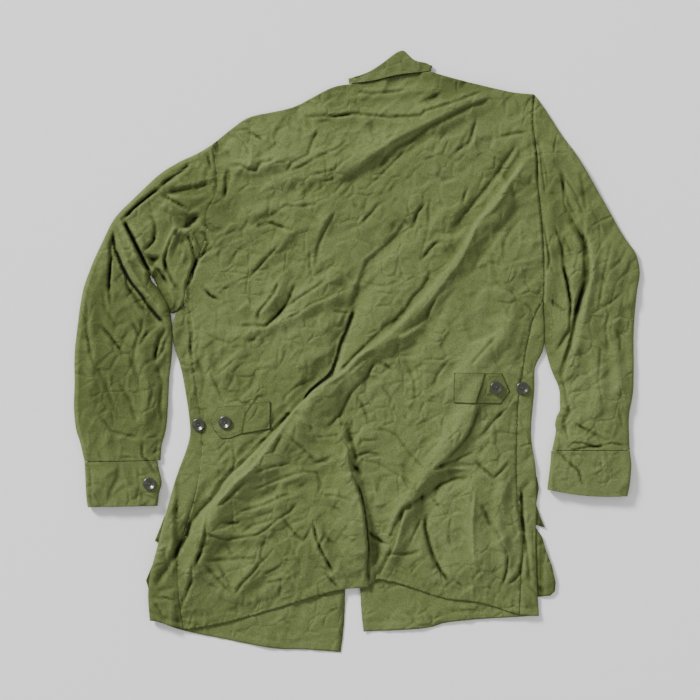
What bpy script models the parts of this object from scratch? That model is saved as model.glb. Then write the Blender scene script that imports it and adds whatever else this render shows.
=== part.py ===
"""Jungle fatigue shirt laid flat, face down, back panel up. Metres, +Z up, underside at z = 0."""
import math

import bmesh
import bpy
from mathutils import Vector

MM = 0.001

# driving dimensions, millimetres
BACK_CLOTH = 2.0          # upright thickness of the back panel
FRONT_CLOTH = 1.5         # thickness of the two fronts
SLEEVE_CLOTH = 1.6        # wall of the sleeve tubes
CUFF_CLOTH = 2.2          # doubled cloth of the cuffs
COLLAR_CLOTH = 2.0        # doubled cloth of the collar
TAB_CLOTH = 2.2           # doubled cloth of the waist tabs
POCKET_CLOTH = 1.5        # bellows pockets and their flaps
SEAM_GAP = 0.3            # clear distance between neighbouring pieces
TRIM_GAP = 0.4            # clear distance under what lies on the back
CELL = 19.0               # pitch of the drape lattice
EDGE_REST = 6.0           # height of the top cloth at a hem or side
LOFT = 7.0                # how much higher the top cloth stands inside
LOFT_REACH = 75.0         # distance from the outline at which it gets there
LOWEST_TOP = 5.8          # the top cloth never comes below this
ROLL = 8.0                # half depth of a rounded side edge
ARMHOLE_ROLL = 3.5        # the same where a sleeve meets the body
CUFF_ROLL = 5.0           # the same on a cuff
COLLAR_END = 0.07         # share of the collar's length taken by each rounded end
COLLAR_COLUMNS = 12
COLLAR_ARCH = 3.0         # how far the collar strip bows up in the middle
COLLAR_TOP = 6.8
COLLAR_FLOOR = 0.5
POCKET_LIFT = 1.8         # how far the fronts rise over the pockets
POCKET_BLEND = 24.0       # length over which they do
BUTTON_RADIUS = 9.5
BUTTON_RIM = 1.5
BUTTON_HEIGHT = 3.2
BUTTON_DISH = 2.3
BUTTON_SIDES = 16
ARC_STEPS = 3             # points between top and bottom of a rounded edge
WRAP_ROWS = 21            # rows of a front between hem and underarm
UPPER_ROWS = 8           # rows of a front above the underarm
FLOOR_COLUMNS = 6         # columns of a front on the floor
RING_LINES = 10           # spans across the face of a sleeve or cuff
ARMHOLE_INSET = 4.0       # how far a front stays inside the armhole and shoulder
NECKLINE_Y = 330.0        # height of the front neckline at the centre edge
UNDERARM_LEFT = 60.0      # y where the side folds begin
UNDERARM_RIGHT = 68.0

# seams and free edges seen from above: x, y in mm, each a smooth curve through its rows
TOP_LEFT = ((-216, 307), (-184, 337), (-157, 352), (-97, 365), (-40, 394), (-12, 400))
NECK = ((-12, 400), (24, 404), (58, 412), (88, 416), (111, 419))
TOP_RIGHT = ((111, 419), (137, 411), (192, 397), (234, 388), (266, 385))
ARMHOLE_RIGHT = ((266, 385), (263, 345), (269, 295), (270, 255), (276, 200), (280, 130), (279, 77))
ARMHOLE_LEFT = ((-216, 307), (-210, 269), (-209, 239), (-224, 209), (-225, 173), (-237, 140),
                (-253, 104), (-259, 70))
SEAM_RIGHT = ((279, 77), (262, 45), (248, -25), (240, -88), (239, -215), (248, -287), (245, -335),
              (243, -394))
SEAM_LEFT = ((-259, 70), (-251, 40), (-247, -5), (-238, -70), (-231, -130), (-241, -212), (-266, -300),
             (-266, -365), (-259, -416))
SIDE_RIGHT = ((279, 77), (281, 10), (267, -24), (266, -60), (261, -122), (268, -175), (269, -223),
              (268, -310), (273, -396))
SIDE_LEFT = ((-259, 70), (-270, 44), (-274, 20), (-273, 2), (-262, -32), (-251, -100), (-252, -136),
             (-273, -196), (-298, -290), (-312, -350), (-310, -403))
HEM_LEFT = ((-259, -416), (-201, -407), (-129, -387), (-54, -364), (-20, -356), (16, -353))
HEM_RIGHT = ((33, -340), (72, -350), (129, -369), (183, -376), (243, -394))
FRONT_HEM_LEFT = ((-310, -403), (-272, -417), (-215, -429), (-129, -445), (-79, -447), (-24, -451))
FRONT_HEM_RIGHT = ((10, -420), (80, -417), (116, -413), (140, -406), (195, -401), (273, -396))
CENTRE_LEFT = ((-24, -451), (-18, -388), (-17, -253), (-12, 60), (-8, 330))
CENTRE_RIGHT = ((10, -420), (5, -353), (3, -148), (2, 60), (1, 330))
COLLAR_NEAR = ((-11, 407), (13, 412), (50, 426), (82, 435), (99, 429), (112, 427))
COLLAR_FAR = ((-13, 409), (13, 417), (34, 429), (58, 447), (70, 451), (77, 445), (88, 436),
              (106, 432), (114, 428))

# folds of the top cloth: path, height (below zero for a trench), then its width
# on the left and on the right of the path as it runs, in mm
FOLDS = (
    # main ridge from the right armhole down to the middle
    (((257, 290), (215, 235), (185, 194), (147, 138), (101, 79), (59, 35), (10, -5), (-20, -40)),
     17, 30, 62),
    # roll from the middle down to the lower left
    (((-20, -40), (-60, -72), (-100, -112), (-145, -158), (-210, -222), (-236, -275), (-255, -350)),
     15, 46, 26),
    # dark trench beside the roll and its feeder from above
    (((82, 197), (40, 165), (12, 140), (-7, 92), (-12, 40), (-32, -5)), -7, 34, 30),
    (((-30, -12), (-78, -66), (-98, -100), (-140, -145), (-190, -192), (-222, -222), (-248, -262)),
     -8, 20, 26),
    # tucks across the shoulders
    (((205, 385), (140, 356), (70, 324), (10, 290), (-45, 262)), 9, 26, 34),
    (((-97, 361), (-10, 354), (60, 352), (120, 368), (185, 392)), 4, 24, 20),
    (((-30, 381), (20, 386), (80, 391), (140, 395)), 4, 18, 16),
    (((235, 300), (200, 255), (165, 205), (140, 165)), -5, 24, 18),
    # free fold that lifts along the middle of the lower back
    (((-22, -120), (-12, -165), (2, -226), (8, -262), (16, -345)), 8, 14, 52),
    (((66, -228), (56, -290), (42, -322)), 8, 20, 26),
    (((14, -262), (24, -295), (26, -325)), -6, 22, 22),
    # ridge and overlapping roll of the lower right
    (((190, -36), (167, -84), (108, -178), (84, -214), (58, -248)), 9, 30, 24),
    (((172, -176), (130, -190), (100, -216), (98, -260), (136, -338)), -5, 26, 20),
    (((173, -182), (174, -270), (196, -345)), 5, 26, 28),
    (((222, -180), (212, -260), (226, -350)), 5, 16, 18),
    # middle right
    (((230, 62), (218, 22), (170, -22), (142, -60)), 6, 24, 24),
    (((128, 82), (102, 30), (74, -8), (84, -54)), -4, 24, 24),
    (((110, 160), (160, 172)), 5, 18, 18),
    # upper left
    (((-192, 280), (-166, 276), (-140, 278), (-112, 292)), 6, 18, 20),
    (((-100, 277), (-30, 300), (-8, 326)), 5, 20, 22),
    (((-124, 252), (-72, 262), (-30, 276)), 4, 16, 16),
    (((-32, 220), (-50, 192), (-62, 165)), 5, 18, 18),
    (((-90, 210), (-97, 182), (-134, 138)), 4, 20, 20),
    (((-170, 202), (-128, 216), (-88, 216)), 4, 16, 16),
    # middle left
    (((-114, 110), (-125, 78), (-150, 42)), 6, 22, 20),
    (((-90, 106), (-102, 76), (-128, 50), (-175, 40)), -4, 16, 20),
    (((-20, 118), (-62, 92), (-102, 74)), 6, 18, 18),
    (((2, 96), (-64, 70), (-104, 48), (-150, 36)), 5, 18, 18),
    (((-190, 8), (-172, 24), (-154, 34)), 5, 24, 20),
    (((-178, -8), (-200, -36), (-212, -40)), 4, 16, 16),
    (((-158, -30), (-126, -22)), 3, 16, 16),
    (((-62, -4), (-100, -28)), 4, 18, 18),
    (((-225, 22), (-222, -30), (-214, -62)), 4, 12, 14),
    # lower left
    (((-156, -184), (-98, -166)), 4, 18, 18),
    (((-156, -208), (-66, -180)), 5, 18, 18),
    (((-170, -240), (-92, -216)), 6, 20, 18),
    (((-228, -272), (-156, -277), (-106, -240)), 5, 20, 18),
    (((-64, -252), (-54, -290), (-36, -332)), 6, 20, 20),
    (((-147, -309), (-182, -366)), 6, 20, 20),
    (((-66, -127), (-28, -127)), 5, 16, 16),
    (((-103, -123), (-52, -164), (-38, -156)), 5, 18, 18),
    (((-60, -212), (-14, -222)), 4, 18, 18),
    # left sleeve: arch at the armhole, roll over the elbow, forearm crease
    (((-281, 158), (-270, 180), (-252, 176), (-238, 142)), 6, 14, 14),
    (((-236, 200), (-262, 196)), -4, 14, 14),
    (((-270, 182), (-288, 142)), 6, 14, 14),
    (((-300, 248), (-345, 205)), 6, 16, 14),
    (((-362, 160), (-348, 108), (-332, 84), (-308, 60), (-298, 30)), -5, 16, 16),
    (((-378, 150), (-384, 96)), 5, 14, 14),
    (((-400, 90), (-396, 10), (-400, -70)), 4, 16, 16),
    (((-330, 20), (-310, -60), (-322, -130)), 4, 18, 16),
    (((-380, -100), (-372, -160)), 3, 14, 14),
    # right sleeve: upper fold over the forearm and its hollow
    (((346, 165), (345, 137), (335, 76), (326, 32), (315, -16)), 7, 14, 22),
    (((300, 250), (310, 180), (306, 110), (296, 50)), -4, 22, 20),
    (((382, 160), (366, 60)), 5, 18, 18),
    (((350, 32), (362, -50), (352, -110)), 4, 18, 18),
    (((385, 20), (396, -80)), 4, 14, 16),
    (((300, 330), (352, 250), (396, 172)), 4, 20, 18),
    (((330, -176), (338, -204)), 2, 12, 12),
    (((362, -156), (370, -204)), 2, 12, 12),
)

# rings of the sleeves: x, y of one end, x, y of the other, bow of the line between them
LEFT_RINGS = (
    (-238, 297, -270, 62, 0), (-266, 284, -286, 80, 0), (-296, 265, -298, 102, 0),
    (-332, 231, -304, 119, 0), (-363, 199, -314, 121, 0), (-384, 158, -313, 106, 0),
    (-399, 124, -301, 89, 0), (-411, 87, -289, 70, 0), (-420, 25, -280, 40, 0),
    (-423, -8, -278, 2, 0), (-423, -50, -281, -42, 0), (-424, -84, -283, -88, 0),
    (-421, -115, -286, -118, 0), (-414, -138, -292, -140, 0), (-408, -165, -294, -163, 0))
RIGHT_RINGS = (
    (284, 360, 284, 52, 4), (306, 326, 283, 20, 5), (330, 293, 285, -4, 5),
    (354, 253, 290, -24, 5), (377, 212, 295, -37, 4), (400, 172, 301, -50, 2),
    (418, 146, 304, -62, 0), (424, 118, 304, -75, 0), (419, 84, 304, -88, 0),
    (415, 30, 300, -96, 0), (415, -20, 298, -103, 0), (414, -60, 297, -110, 0),
    (408, -95, 298, -119, 0), (408, -128, 295, -135, 0), (409, -148, 292, -148, 0))
LEFT_CUFF = ((-408, -165.7, -299, -163.7, 0), (-407, -182, -296, -178, 0),
             (-406, -200, -292, -197, 0), (-405, -218, -296, -213, 0), (-403, -233, -298, -231, 0))
RIGHT_CUFF = ((291, -148.8, 409, -148.8, 0), (290, -166, 411, -168, 0), (288, -182, 410, -186, 0),
              (286, -197, 408, -203, -2), (285, -207, 405, -217, -4))

# flat pieces: x, y of their corners
TAB_LEFT = ((-129, -75), (-144, -76), (-174, -81), (-207, -83), (-219, -103), (-214, -118),
            (-202, -131), (-189, -130), (-170, -123), (-146, -119), (-129, -116))
TAB_RIGHT = ((145, -32), (217, -33), (229, -60), (215, -79), (145, -77))
POCKET_RIGHT = ((130, -265), (269, -265), (278, -279), (284, -299), (293, -323), (298, -346),
                (297, -359), (290, -366), (271, -368), (130, -368))
FLAP_RIGHT = ((130, -188), (270, -188), (273, -205), (269, -229), (275, -248), (282, -264),
              (268, -260), (130, -260))
POCKET_LEFT = ((-150, -290), (-298, -290), (-304, -313), (-309, -326), (-316, -343), (-312, -358),
               (-150, -368))
FLAP_LEFT = ((-150, -236), (-284, -242), (-289, -248), (-294, -262), (-303, -284), (-296, -286),
             (-150, -286))

# buttons: name, x, y, and what they lie on
BUTTONS = (
    ("tab_button_left", -197, -106, "tab"),
    ("tab_button_right", 208, -54, "tab"),
    ("spare_button_left", -237, -110, "cloth"),
    ("spare_button_right", 248, -55, "cloth"),
    ("cuff_button_left", -310, -198, "cuff"),
)

# Principled materials: red, green, blue, roughness
MATERIALS = {
    "cloth": (0.130, 0.155, 0.055, 0.9),
    "trim_cloth": (0.115, 0.140, 0.050, 0.9),
    "button": (0.045, 0.055, 0.030, 0.35),
}


def smooth(value):
    """Ease from 0 to 1."""
    value = min(1.0, max(0.0, value))
    return value * value * (3.0 - 2.0 * value)


def blend(a, b, share):
    return a + (b - a) * share


def curve(rows, steps=4):
    """Smooth curve through the rows, with this many pieces to a row."""
    points = []
    last = len(rows) - 1
    for i in range(last):
        before = rows[max(i - 1, 0)]
        start = rows[i]
        end = rows[i + 1]
        after = rows[min(i + 2, last)]
        for k in range(steps):
            t = k / steps
            point = []
            for a, b, c, d in zip(before, start, end, after):
                bend = (2 * a - 5 * b + 4 * c - d) * t * t + (3 * b - a - 3 * c + d) * t ** 3
                point.append(0.5 * (2 * b + (c - a) * t + bend))
            points.append(tuple(point))
    points.append(tuple(rows[last][:2]))
    return points


def along(points, share):
    """Point at this share of the length of a path."""
    lengths = [math.dist(a, b) for a, b in zip(points, points[1:])]
    left = share * sum(lengths)
    for a, b, length in zip(points, points[1:], lengths):
        if left <= length:
            part = left / max(length, 1e-9)
            return blend(a[0], b[0], part), blend(a[1], b[1], part)
        left -= length
    return points[-1]


def x_at(points, y):
    """Where a path that runs up or down crosses this y."""
    low = min(points, key=lambda p: p[1])
    high = max(points, key=lambda p: p[1])
    if y <= low[1]:
        return low[0]
    if y >= high[1]:
        return high[0]
    for a, b in zip(points, points[1:]):
        if min(a[1], b[1]) <= y <= max(a[1], b[1]) and abs(a[1] - b[1]) > 1e-9:
            return blend(a[0], b[0], (y - a[1]) / (b[1] - a[1]))
    return low[0]


def y_at(points, x):
    """Where a path that runs across meets this x."""
    return x_at([(p[1], p[0]) for p in points], x)


def nearest(points, x, y):
    """Signed distance to a path, left of it above zero, and the share of its length."""
    best = (1e9, 0.0, 0.0)
    walked = 0.0
    for a, b in zip(points, points[1:]):
        dx = b[0] - a[0]
        dy = b[1] - a[1]
        size = math.hypot(dx, dy)
        t = ((x - a[0]) * dx + (y - a[1]) * dy) / (size * size)
        t = min(1.0, max(0.0, t))
        away = math.hypot(x - a[0] - dx * t, y - a[1] - dy * t)
        if away < best[0]:
            side = dx * (y - a[1]) - dy * (x - a[0])
            best = (away, math.copysign(away, side), walked + size * t)
        walked += size
    return best[1], best[2] / walked, walked


def fold_height(x, y, path, height, left, right):
    """Rise of one fold at a point: steep or gentle by side, fading at its ends."""
    away, share, length = nearest(path, x, y)
    width = left if away > 0 else right
    if abs(away) >= width:
        return 0.0
    fade = min(share, 1.0 - share) * length
    ends = 0.35 + 0.65 * smooth(fade / 28.0)
    return height * ends * (1.0 - smooth(abs(away) / width))


def inside_distance(x, y):
    """Distance to the edge of the body where it is free to drop, armholes left out."""
    rims = (SIDE_LEFT, SIDE_RIGHT, TOP_LEFT, NECK, TOP_RIGHT, HEM_LEFT, HEM_RIGHT)
    return min(abs(nearest(rim, x, y)[0]) for rim in rims)


def sleeve_distance(x, y):
    """Distance to the free edges of a sleeve."""
    rings = LEFT_RINGS if x < 0 else RIGHT_RINGS
    outer = [(row[0], row[1]) for row in rings]
    inner = [(row[2], row[3]) for row in rings]
    return min(abs(nearest(outer, x, y)[0]), abs(nearest(inner, x, y)[0]))


def on_sleeve(x, y):
    """True beyond the armholes."""
    if y > 70 or abs(x) > 330:
        line = ARMHOLE_LEFT if x < 0 else ARMHOLE_RIGHT
        edge = x_at(line, y)
        return x < edge if x < 0 else x > edge
    return x < -275 or x > 281.5


def drape(x, y):
    """Height of the top face of the upper cloth."""
    if on_sleeve(x, y):
        rest = EDGE_REST + 2.0 + LOFT * 0.7 * smooth(sleeve_distance(x, y) / 45.0)
    else:
        rest = EDGE_REST + LOFT * smooth(inside_distance(x, y) / LOFT_REACH)
    folds = 0.0
    for path, height, left, right in FOLDS:
        folds += fold_height(x, y, path, height, left, right)
    margin = min(1.0, 0.25 + inside_distance(x, y) / 30.0)
    return max(LOWEST_TOP, rest + folds * margin)


LATTICE = {}


def lattice_height(i, j):
    """Drape at a knot of the lattice, worked out once."""
    if (i, j) not in LATTICE:
        LATTICE[i, j] = drape(i * CELL, j * CELL)
    return LATTICE[i, j]


def facet(x, y):
    """Height of the faceted drape: two triangles to a cell, split along the rising diagonal."""
    i = math.floor(x / CELL + 1e-7)
    j = math.floor(y / CELL + 1e-7)
    u = x / CELL - i
    v = y / CELL - j
    a = lattice_height(i, j)
    c = lattice_height(i + 1, j + 1)
    if u >= v:
        b = lattice_height(i + 1, j)
        return a + (b - a) * u + (c - b) * v
    d = lattice_height(i, j + 1)
    return a + (d - a) * v + (c - d) * u


def new_object(name, mesh, material):
    """Put a mesh into the shirt collection with its own material."""
    red, green, blue, rough = MATERIALS[material]
    paint = bpy.data.materials.new(name + "_" + material)
    paint.use_nodes = True
    shader = paint.node_tree.nodes["Principled BSDF"]
    shader.inputs["Base Color"].default_value = (red, green, blue, 1.0)
    shader.inputs["Roughness"].default_value = rough
    mesh.materials.append(paint)
    thing = bpy.data.objects.new(name, mesh)
    SHIRT.objects.link(thing)
    return thing


def from_lists(name, verts, faces, material):
    """Closed mesh from points in millimetres, faces turned outward."""
    mesh = bpy.data.meshes.new(name)
    mesh.from_pydata([(x * MM, y * MM, z * MM) for x, y, z in verts], [], faces)
    work = bmesh.new()
    work.from_mesh(mesh)
    bmesh.ops.remove_doubles(work, verts=work.verts, dist=0.00002)
    bmesh.ops.triangulate(work, faces=work.faces)
    bmesh.ops.recalc_face_normals(work, faces=work.faces)
    work.to_mesh(mesh)
    work.free()
    return new_object(name, mesh, material)


def cut_flat(corners, pitch, diagonals):
    """Flat mesh of an outline, cut along every line of the lattice."""
    flat = bmesh.new()
    verts = [flat.verts.new((x, y, 0.0)) for x, y in corners]
    flat.faces.new(verts)
    cuts = [(1, 0), (0, 1)]
    if diagonals:
        cuts.append((1, -1))
    for nx, ny in cuts:
        reach = [(nx * x + ny * y) / pitch for x, y in corners]
        for k in range(math.ceil(min(reach)), math.floor(max(reach)) + 1):
            point = Vector((nx, ny, 0)) * (k * pitch / (nx * nx + ny * ny))
            geometry = flat.verts[:] + flat.edges[:] + flat.faces[:]
            bmesh.ops.bisect_plane(flat, geom=geometry, plane_co=point, plane_no=(nx, ny, 0),
                                   dist=0.01)
    bmesh.ops.remove_doubles(flat, verts=flat.verts, dist=0.1)
    bmesh.ops.triangulate(flat, faces=flat.faces)
    bmesh.ops.dissolve_degenerate(flat, edges=flat.edges, dist=0.02)
    return flat


def sheet(name, corners, material, top, bottom, pitch=CELL, diagonals=True):
    """Cloth between two heights that both depend on the place."""
    flat = cut_flat(corners, pitch, diagonals)
    flat.verts.ensure_lookup_table()
    flat.verts.index_update()
    count = len(flat.verts)
    verts = [(v.co.x, v.co.y, top(v.co.x, v.co.y)) for v in flat.verts]
    verts += [(v.co.x, v.co.y, bottom(v.co.x, v.co.y)) for v in flat.verts]
    faces = []
    for face in flat.faces:
        ring = [v.index for v in face.verts]
        faces.append(ring)
        faces.append([count + i for i in reversed(ring)])
    for edge in flat.edges:
        if len(edge.link_faces) == 1:
            a, b = (v.index for v in edge.verts)
            faces.append([a, b, count + b, count + a])
    flat.free()
    return from_lists(name, verts, faces, material)


def shrink(corners, gap):
    """Move an outline inward by a small gap."""
    area = sum(a[0] * b[1] - b[0] * a[1] for a, b in zip(corners, corners[1:] + corners[:1]))
    turn = 1.0 if area > 0 else -1.0
    moved = []
    for i, here in enumerate(corners):
        before = corners[i - 1]
        after = corners[(i + 1) % len(corners)]
        into = Vector((here[0] - before[0], here[1] - before[1])).normalized()
        out = Vector((after[0] - here[0], after[1] - here[1])).normalized()
        side = Vector((-into.y - out.y, into.x + out.x)) * turn
        if side.length < 0.2:
            side = Vector((-out.y, out.x)) * turn
        side.normalize()
        moved.append((here[0] + side.x * gap, here[1] + side.y * gap))
    return moved


def joined(*paths):
    """One closed outline from paths that follow each other, repeated ends dropped."""
    corners = []
    for path in paths:
        for point in path:
            if not corners or math.dist(point, corners[-1]) > 0.5:
                corners.append(point)
    if math.dist(corners[0], corners[-1]) < 0.5:
        corners.pop()
    return corners


def flat_ring(a, b, wall, bow, lines, out_a=None, out_b=None, roll=ROLL):
    """Section of a flattened tube between two edge points: outer and inner points, in order.

    The edges are rounded along their own outward directions, out_a and out_b.
    """
    start = Vector(a)
    stop = Vector(b)
    across = (stop - start).normalized()
    out_a = out_a or -across
    out_b = out_b or across
    roll = min(roll, (stop - start).length * 0.2)
    side = Vector((-across.y, across.x))
    first = start - out_a * roll
    last = stop - out_b * roll
    stations = []
    for k in range(lines + 1):
        share = k / lines
        stations.append(first.lerp(last, share) + side * (bow * 4 * share * (1 - share)))
    outer = [(p.x, p.y, 0.0) for p in stations]
    inner = [(p.x, p.y, wall) for p in stations]
    for edge, out, order in ((last, out_b, 1), (first, out_a, -1)):
        half = drape(edge.x, edge.y) / 2
        for k in range(1, ARC_STEPS + 1):
            angle = (k / (ARC_STEPS + 1) - 0.5) * math.pi * order
            for points, thin in ((outer, 0.0), (inner, wall)):
                p = edge + out * (roll - thin) * math.cos(angle)
                points.append((p.x, p.y, half + (half - thin) * math.sin(angle)))
        if order > 0:
            for p in reversed(stations):
                z = drape(p.x, p.y)
                outer.append((p.x, p.y, z))
                inner.append((p.x, p.y, z - wall))
    return outer, inner


def edge_directions(ends, others):
    """Outward direction of a tube's edge at each ring, square to the path of the edge."""
    found = []
    for k, here in enumerate(ends):
        before = Vector(ends[max(k - 1, 0)])
        after = Vector(ends[min(k + 1, len(ends) - 1)])
        run = (after - before).normalized()
        out = Vector((-run.y, run.x))
        if out.dot(Vector(others[k]) - Vector(here)) > 0:
            out = -out
        found.append(out)
    return found


def tube(name, sections, material):
    """Closed wall around sections, open at both ends."""
    count = len(sections[0][0])
    verts = []
    for outer, inner in sections:
        verts += outer
        verts += inner
    faces = []
    step = 2 * count
    last = (len(sections) - 1) * step
    for k in range(len(sections) - 1):
        for i in range(count):
            j = (i + 1) % count
            a = k * step
            faces.append([a + i, a + j, a + step + j, a + step + i])
            a += count
            faces.append([a + j, a + i, a + step + i, a + step + j])
    for i in range(count):
        j = (i + 1) % count
        faces.append([i, count + i, count + j, j])
        faces.append([last + j, last + count + j, last + count + i, last + i])
    return from_lists(name, verts, faces, material)


def pocket_cover(x, y):
    """Height of the fronts' underside: flat, raised over the pockets and flaps."""
    boxes = ((-320, -108, -394, -208), (88, 305, -394, -160))
    rise = 0.0
    for x0, x1, y0, y1 in boxes:
        away = math.hypot(max(x0 - x, 0, x - x1), max(y0 - y, 0, y - y1))
        rise = max(rise, 1.0 - smooth((away - 4.0) / POCKET_BLEND))
    return POCKET_LIFT * rise


def side_rows(side, seam, top_y):
    """Rows of a side: point on the side fold and point on the side seam, hem to underarm."""
    rows = []
    for r in range(WRAP_ROWS + 1):
        share = r / WRAP_ROWS
        side_y = blend(side[-1][1], top_y, share)
        seam_y = blend(seam[-1][1], top_y, share)
        rows.append((x_at(side, side_y), side_y, x_at(seam, seam_y), seam_y))
    return rows


def wrap_section(side_x, side_y, seam_x, seam_y, sign):
    """Side fold of a front: its floor end, the round, and the strip up to the seam."""
    inset = min(ROLL, abs(side_x - seam_x) * 0.55)
    floor_x = side_x - sign * inset
    low = pocket_cover(floor_x, side_y)
    high = drape(floor_x, side_y)
    middle = (high + low) / 2
    rise = (high - low) / 2
    pairs = []
    for k in range(1, ARC_STEPS + 1):
        angle = (k / (ARC_STEPS + 1) - 0.5) * math.pi
        pair = []
        for thin in (0.0, FRONT_CLOTH):
            x = floor_x + sign * (inset - thin) * math.cos(angle)
            pair.append((x, side_y, middle + (rise - thin) * math.sin(angle)))
        pairs.append(tuple(pair))
    for k in range(3):
        x = blend(floor_x, seam_x + sign * SEAM_GAP / 2, k / 2)
        y = blend(side_y, seam_y, k / 2)
        z = drape(x, y)
        pairs.append(((x, y, z), (x, y, z - FRONT_CLOTH)))
    return floor_x, pairs


def panel_from_rows(name, rows, material):
    """Closed sheet from rows of paired outer and inner points; short rows end early."""
    verts = []
    index = {}
    for r, row in enumerate(rows):
        for c, pair in enumerate(row):
            index[r, c] = len(verts)
            verts += list(pair)
    quads = []
    uses = {}
    for r in range(len(rows) - 1):
        for c in range(min(len(rows[r]), len(rows[r + 1])) - 1):
            ring = [(r, c), (r, c + 1), (r + 1, c + 1), (r + 1, c)]
            quads.append(ring)
            for a, b in zip(ring, ring[1:] + ring[:1]):
                key = tuple(sorted((a, b)))
                uses[key] = uses.get(key, 0) + 1
    faces = []
    for ring in quads:
        faces.append([index[k] for k in ring])
        faces.append([index[k] + 1 for k in reversed(ring)])
    for (a, b), count in uses.items():
        if count == 1:
            faces.append([index[a], index[b], index[b] + 1, index[a] + 1])
    return from_lists(name, verts, faces, material)


def front(name, hem, centre, sides, armhole, shoulder, sign):
    """Front panel on the floor, rolled round the side fold up to the side seam."""
    hem = curve(hem)
    centre = curve(centre)
    shoulder = curve(shoulder)
    under_y = sides[-1][1]
    neck_x, neck_y = shoulder[-1]
    rows = []
    for r, (side_x, side_y, seam_x, seam_y) in enumerate(sides):
        share = r / WRAP_ROWS
        floor_x, wrap = wrap_section(side_x, side_y, seam_x, seam_y, sign)
        centre_x = x_at(centre, blend(centre[0][1], under_y, share))
        row = []
        for c in range(FLOOR_COLUMNS + 1):
            part = c / FLOOR_COLUMNS
            x = blend(centre_x, floor_x, part)
            y = blend(y_at(hem, blend(centre[0][0], sides[0][0], part)), under_y, share)
            z = pocket_cover(x, y)
            row.append(((x, y, z), (x, y, z + FRONT_CLOTH)))
        rows.append(row + wrap)
    for r in range(1, UPPER_ROWS + 1):
        share = r / UPPER_ROWS
        edge_y = blend(under_y, armhole[0][1] - ARMHOLE_INSET, share)
        edge_x = x_at(armhole, edge_y) - sign * ARMHOLE_INSET
        centre_x = x_at(centre, blend(under_y, NECKLINE_Y, share))
        row = []
        for c in range(FLOOR_COLUMNS + 1):
            part = c / FLOOR_COLUMNS
            x = blend(centre_x, edge_x, part)
            top_x = blend(centre[-1][0], armhole[0][0] - sign * ARMHOLE_INSET, part)
            if (top_x - neck_x) * sign > 0:
                top_y = y_at(shoulder, top_x) - ARMHOLE_INSET
            else:
                reach = smooth((top_x - centre[-1][0]) / (neck_x - centre[-1][0]))
                top_y = blend(NECKLINE_Y, neck_y - ARMHOLE_INSET, reach)
            y = blend(under_y, top_y, share)
            row.append(((x, y, 0.0), (x, y, FRONT_CLOTH)))
        rows.append(row)
    return panel_from_rows(name, rows, "cloth")


def button(name, x, y, base):
    """Round button with a raised rim and a dished middle, turned about its axis."""
    radius = BUTTON_RADIUS
    rim = radius - BUTTON_RIM
    profile = ((0.0, 0.0), (radius - 1.2, 0.0), (radius, 1.0), (radius, BUTTON_HEIGHT - 0.8),
               (radius - 0.6, BUTTON_HEIGHT), (rim, BUTTON_HEIGHT), (rim - 1.3, BUTTON_DISH),
               (0.0, BUTTON_DISH))
    mesh = bpy.data.meshes.new(name)
    points = [(r * MM, 0.0, z * MM) for r, z in reversed(profile)]
    mesh.from_pydata(points, [(i, i + 1) for i in range(len(points) - 1)], [])
    thing = new_object(name, mesh, "button")
    screw = thing.modifiers.new("turn", "SCREW")
    screw.steps = BUTTON_SIDES
    screw.render_steps = BUTTON_SIDES
    screw.use_merge_vertices = True
    screw.merge_threshold = 0.00005
    reach = radius * 0.9
    slope_x = (base(x + reach, y) - base(x - reach, y)) / (2 * reach)
    slope_y = (base(x, y + reach) - base(x, y - reach)) / (2 * reach)
    level = -1e9
    for k in range(24):
        angle = k * math.pi / 12
        for r in (0.0, 0.35, 0.7, 1.0, 1.12):
            dx = math.cos(angle) * r * radius
            dy = math.sin(angle) * r * radius
            level = max(level, base(x + dx, y + dy) - slope_x * dx - slope_y * dy)
    normal = Vector((-slope_x, -slope_y, 1.0))
    thing.rotation_mode = "QUATERNION"
    thing.rotation_quaternion = normal.to_track_quat("Z", "Y")
    thing.location = (x * MM, y * MM, (level + TRIM_GAP) * MM)
    return thing


def clear_scene():
    for thing in list(bpy.data.objects):
        bpy.data.objects.remove(thing, do_unlink=True)


clear_scene()
SHIRT = bpy.data.collections.new("jungle_fatigue_shirt")
bpy.context.scene.collection.children.link(SHIRT)

def armhole_stations(line):
    """The armhole seam through the points where a sleeve's first ring meets it."""
    outer, _ = flat_ring(line[0], line[-1], SLEEVE_CLOTH, 0.0, RING_LINES, roll=ARMHOLE_ROLL)
    stations = [(x_at(line, y), y) for _, y, _ in outer[:RING_LINES + 1]]
    return [line[0]] + stations + [line[-1]]


def sleeve(name, line, rings, shift):
    """Flattened sleeve: its first ring runs along the armhole seam, just outside it."""
    first_a = (line[0][0] + shift, line[0][1])
    first_b = (line[-1][0] + shift, line[-1][1])
    ends_a = [first_a] + [row[0:2] for row in rings]
    ends_b = [first_b] + [row[2:4] for row in rings]
    outs_a = edge_directions(ends_a, ends_b)
    outs_b = edge_directions(ends_b, ends_a)
    outs_a[-1] = None
    outs_b[-1] = None
    underarm = Vector((-1.2 * shift, -0.8))
    seam_ring = []
    for points in flat_ring(first_a, first_b, SLEEVE_CLOTH, 0.0, RING_LINES, None, underarm,
                            ARMHOLE_ROLL):
        arc = range(RING_LINES + 1, RING_LINES + 1 + ARC_STEPS)
        seam_ring.append([(x if k in arc else x_at(line, y) + shift, y, z)
                          for k, (x, y, z) in enumerate(points)])
    sections = [tuple(seam_ring)]
    for k, row in enumerate(rings, start=1):
        sections.append(flat_ring(ends_a[k], ends_b[k], SLEEVE_CLOTH, row[4], RING_LINES,
                                  outs_a[k], outs_b[k]))
    tube(name, sections, "cloth")


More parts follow.
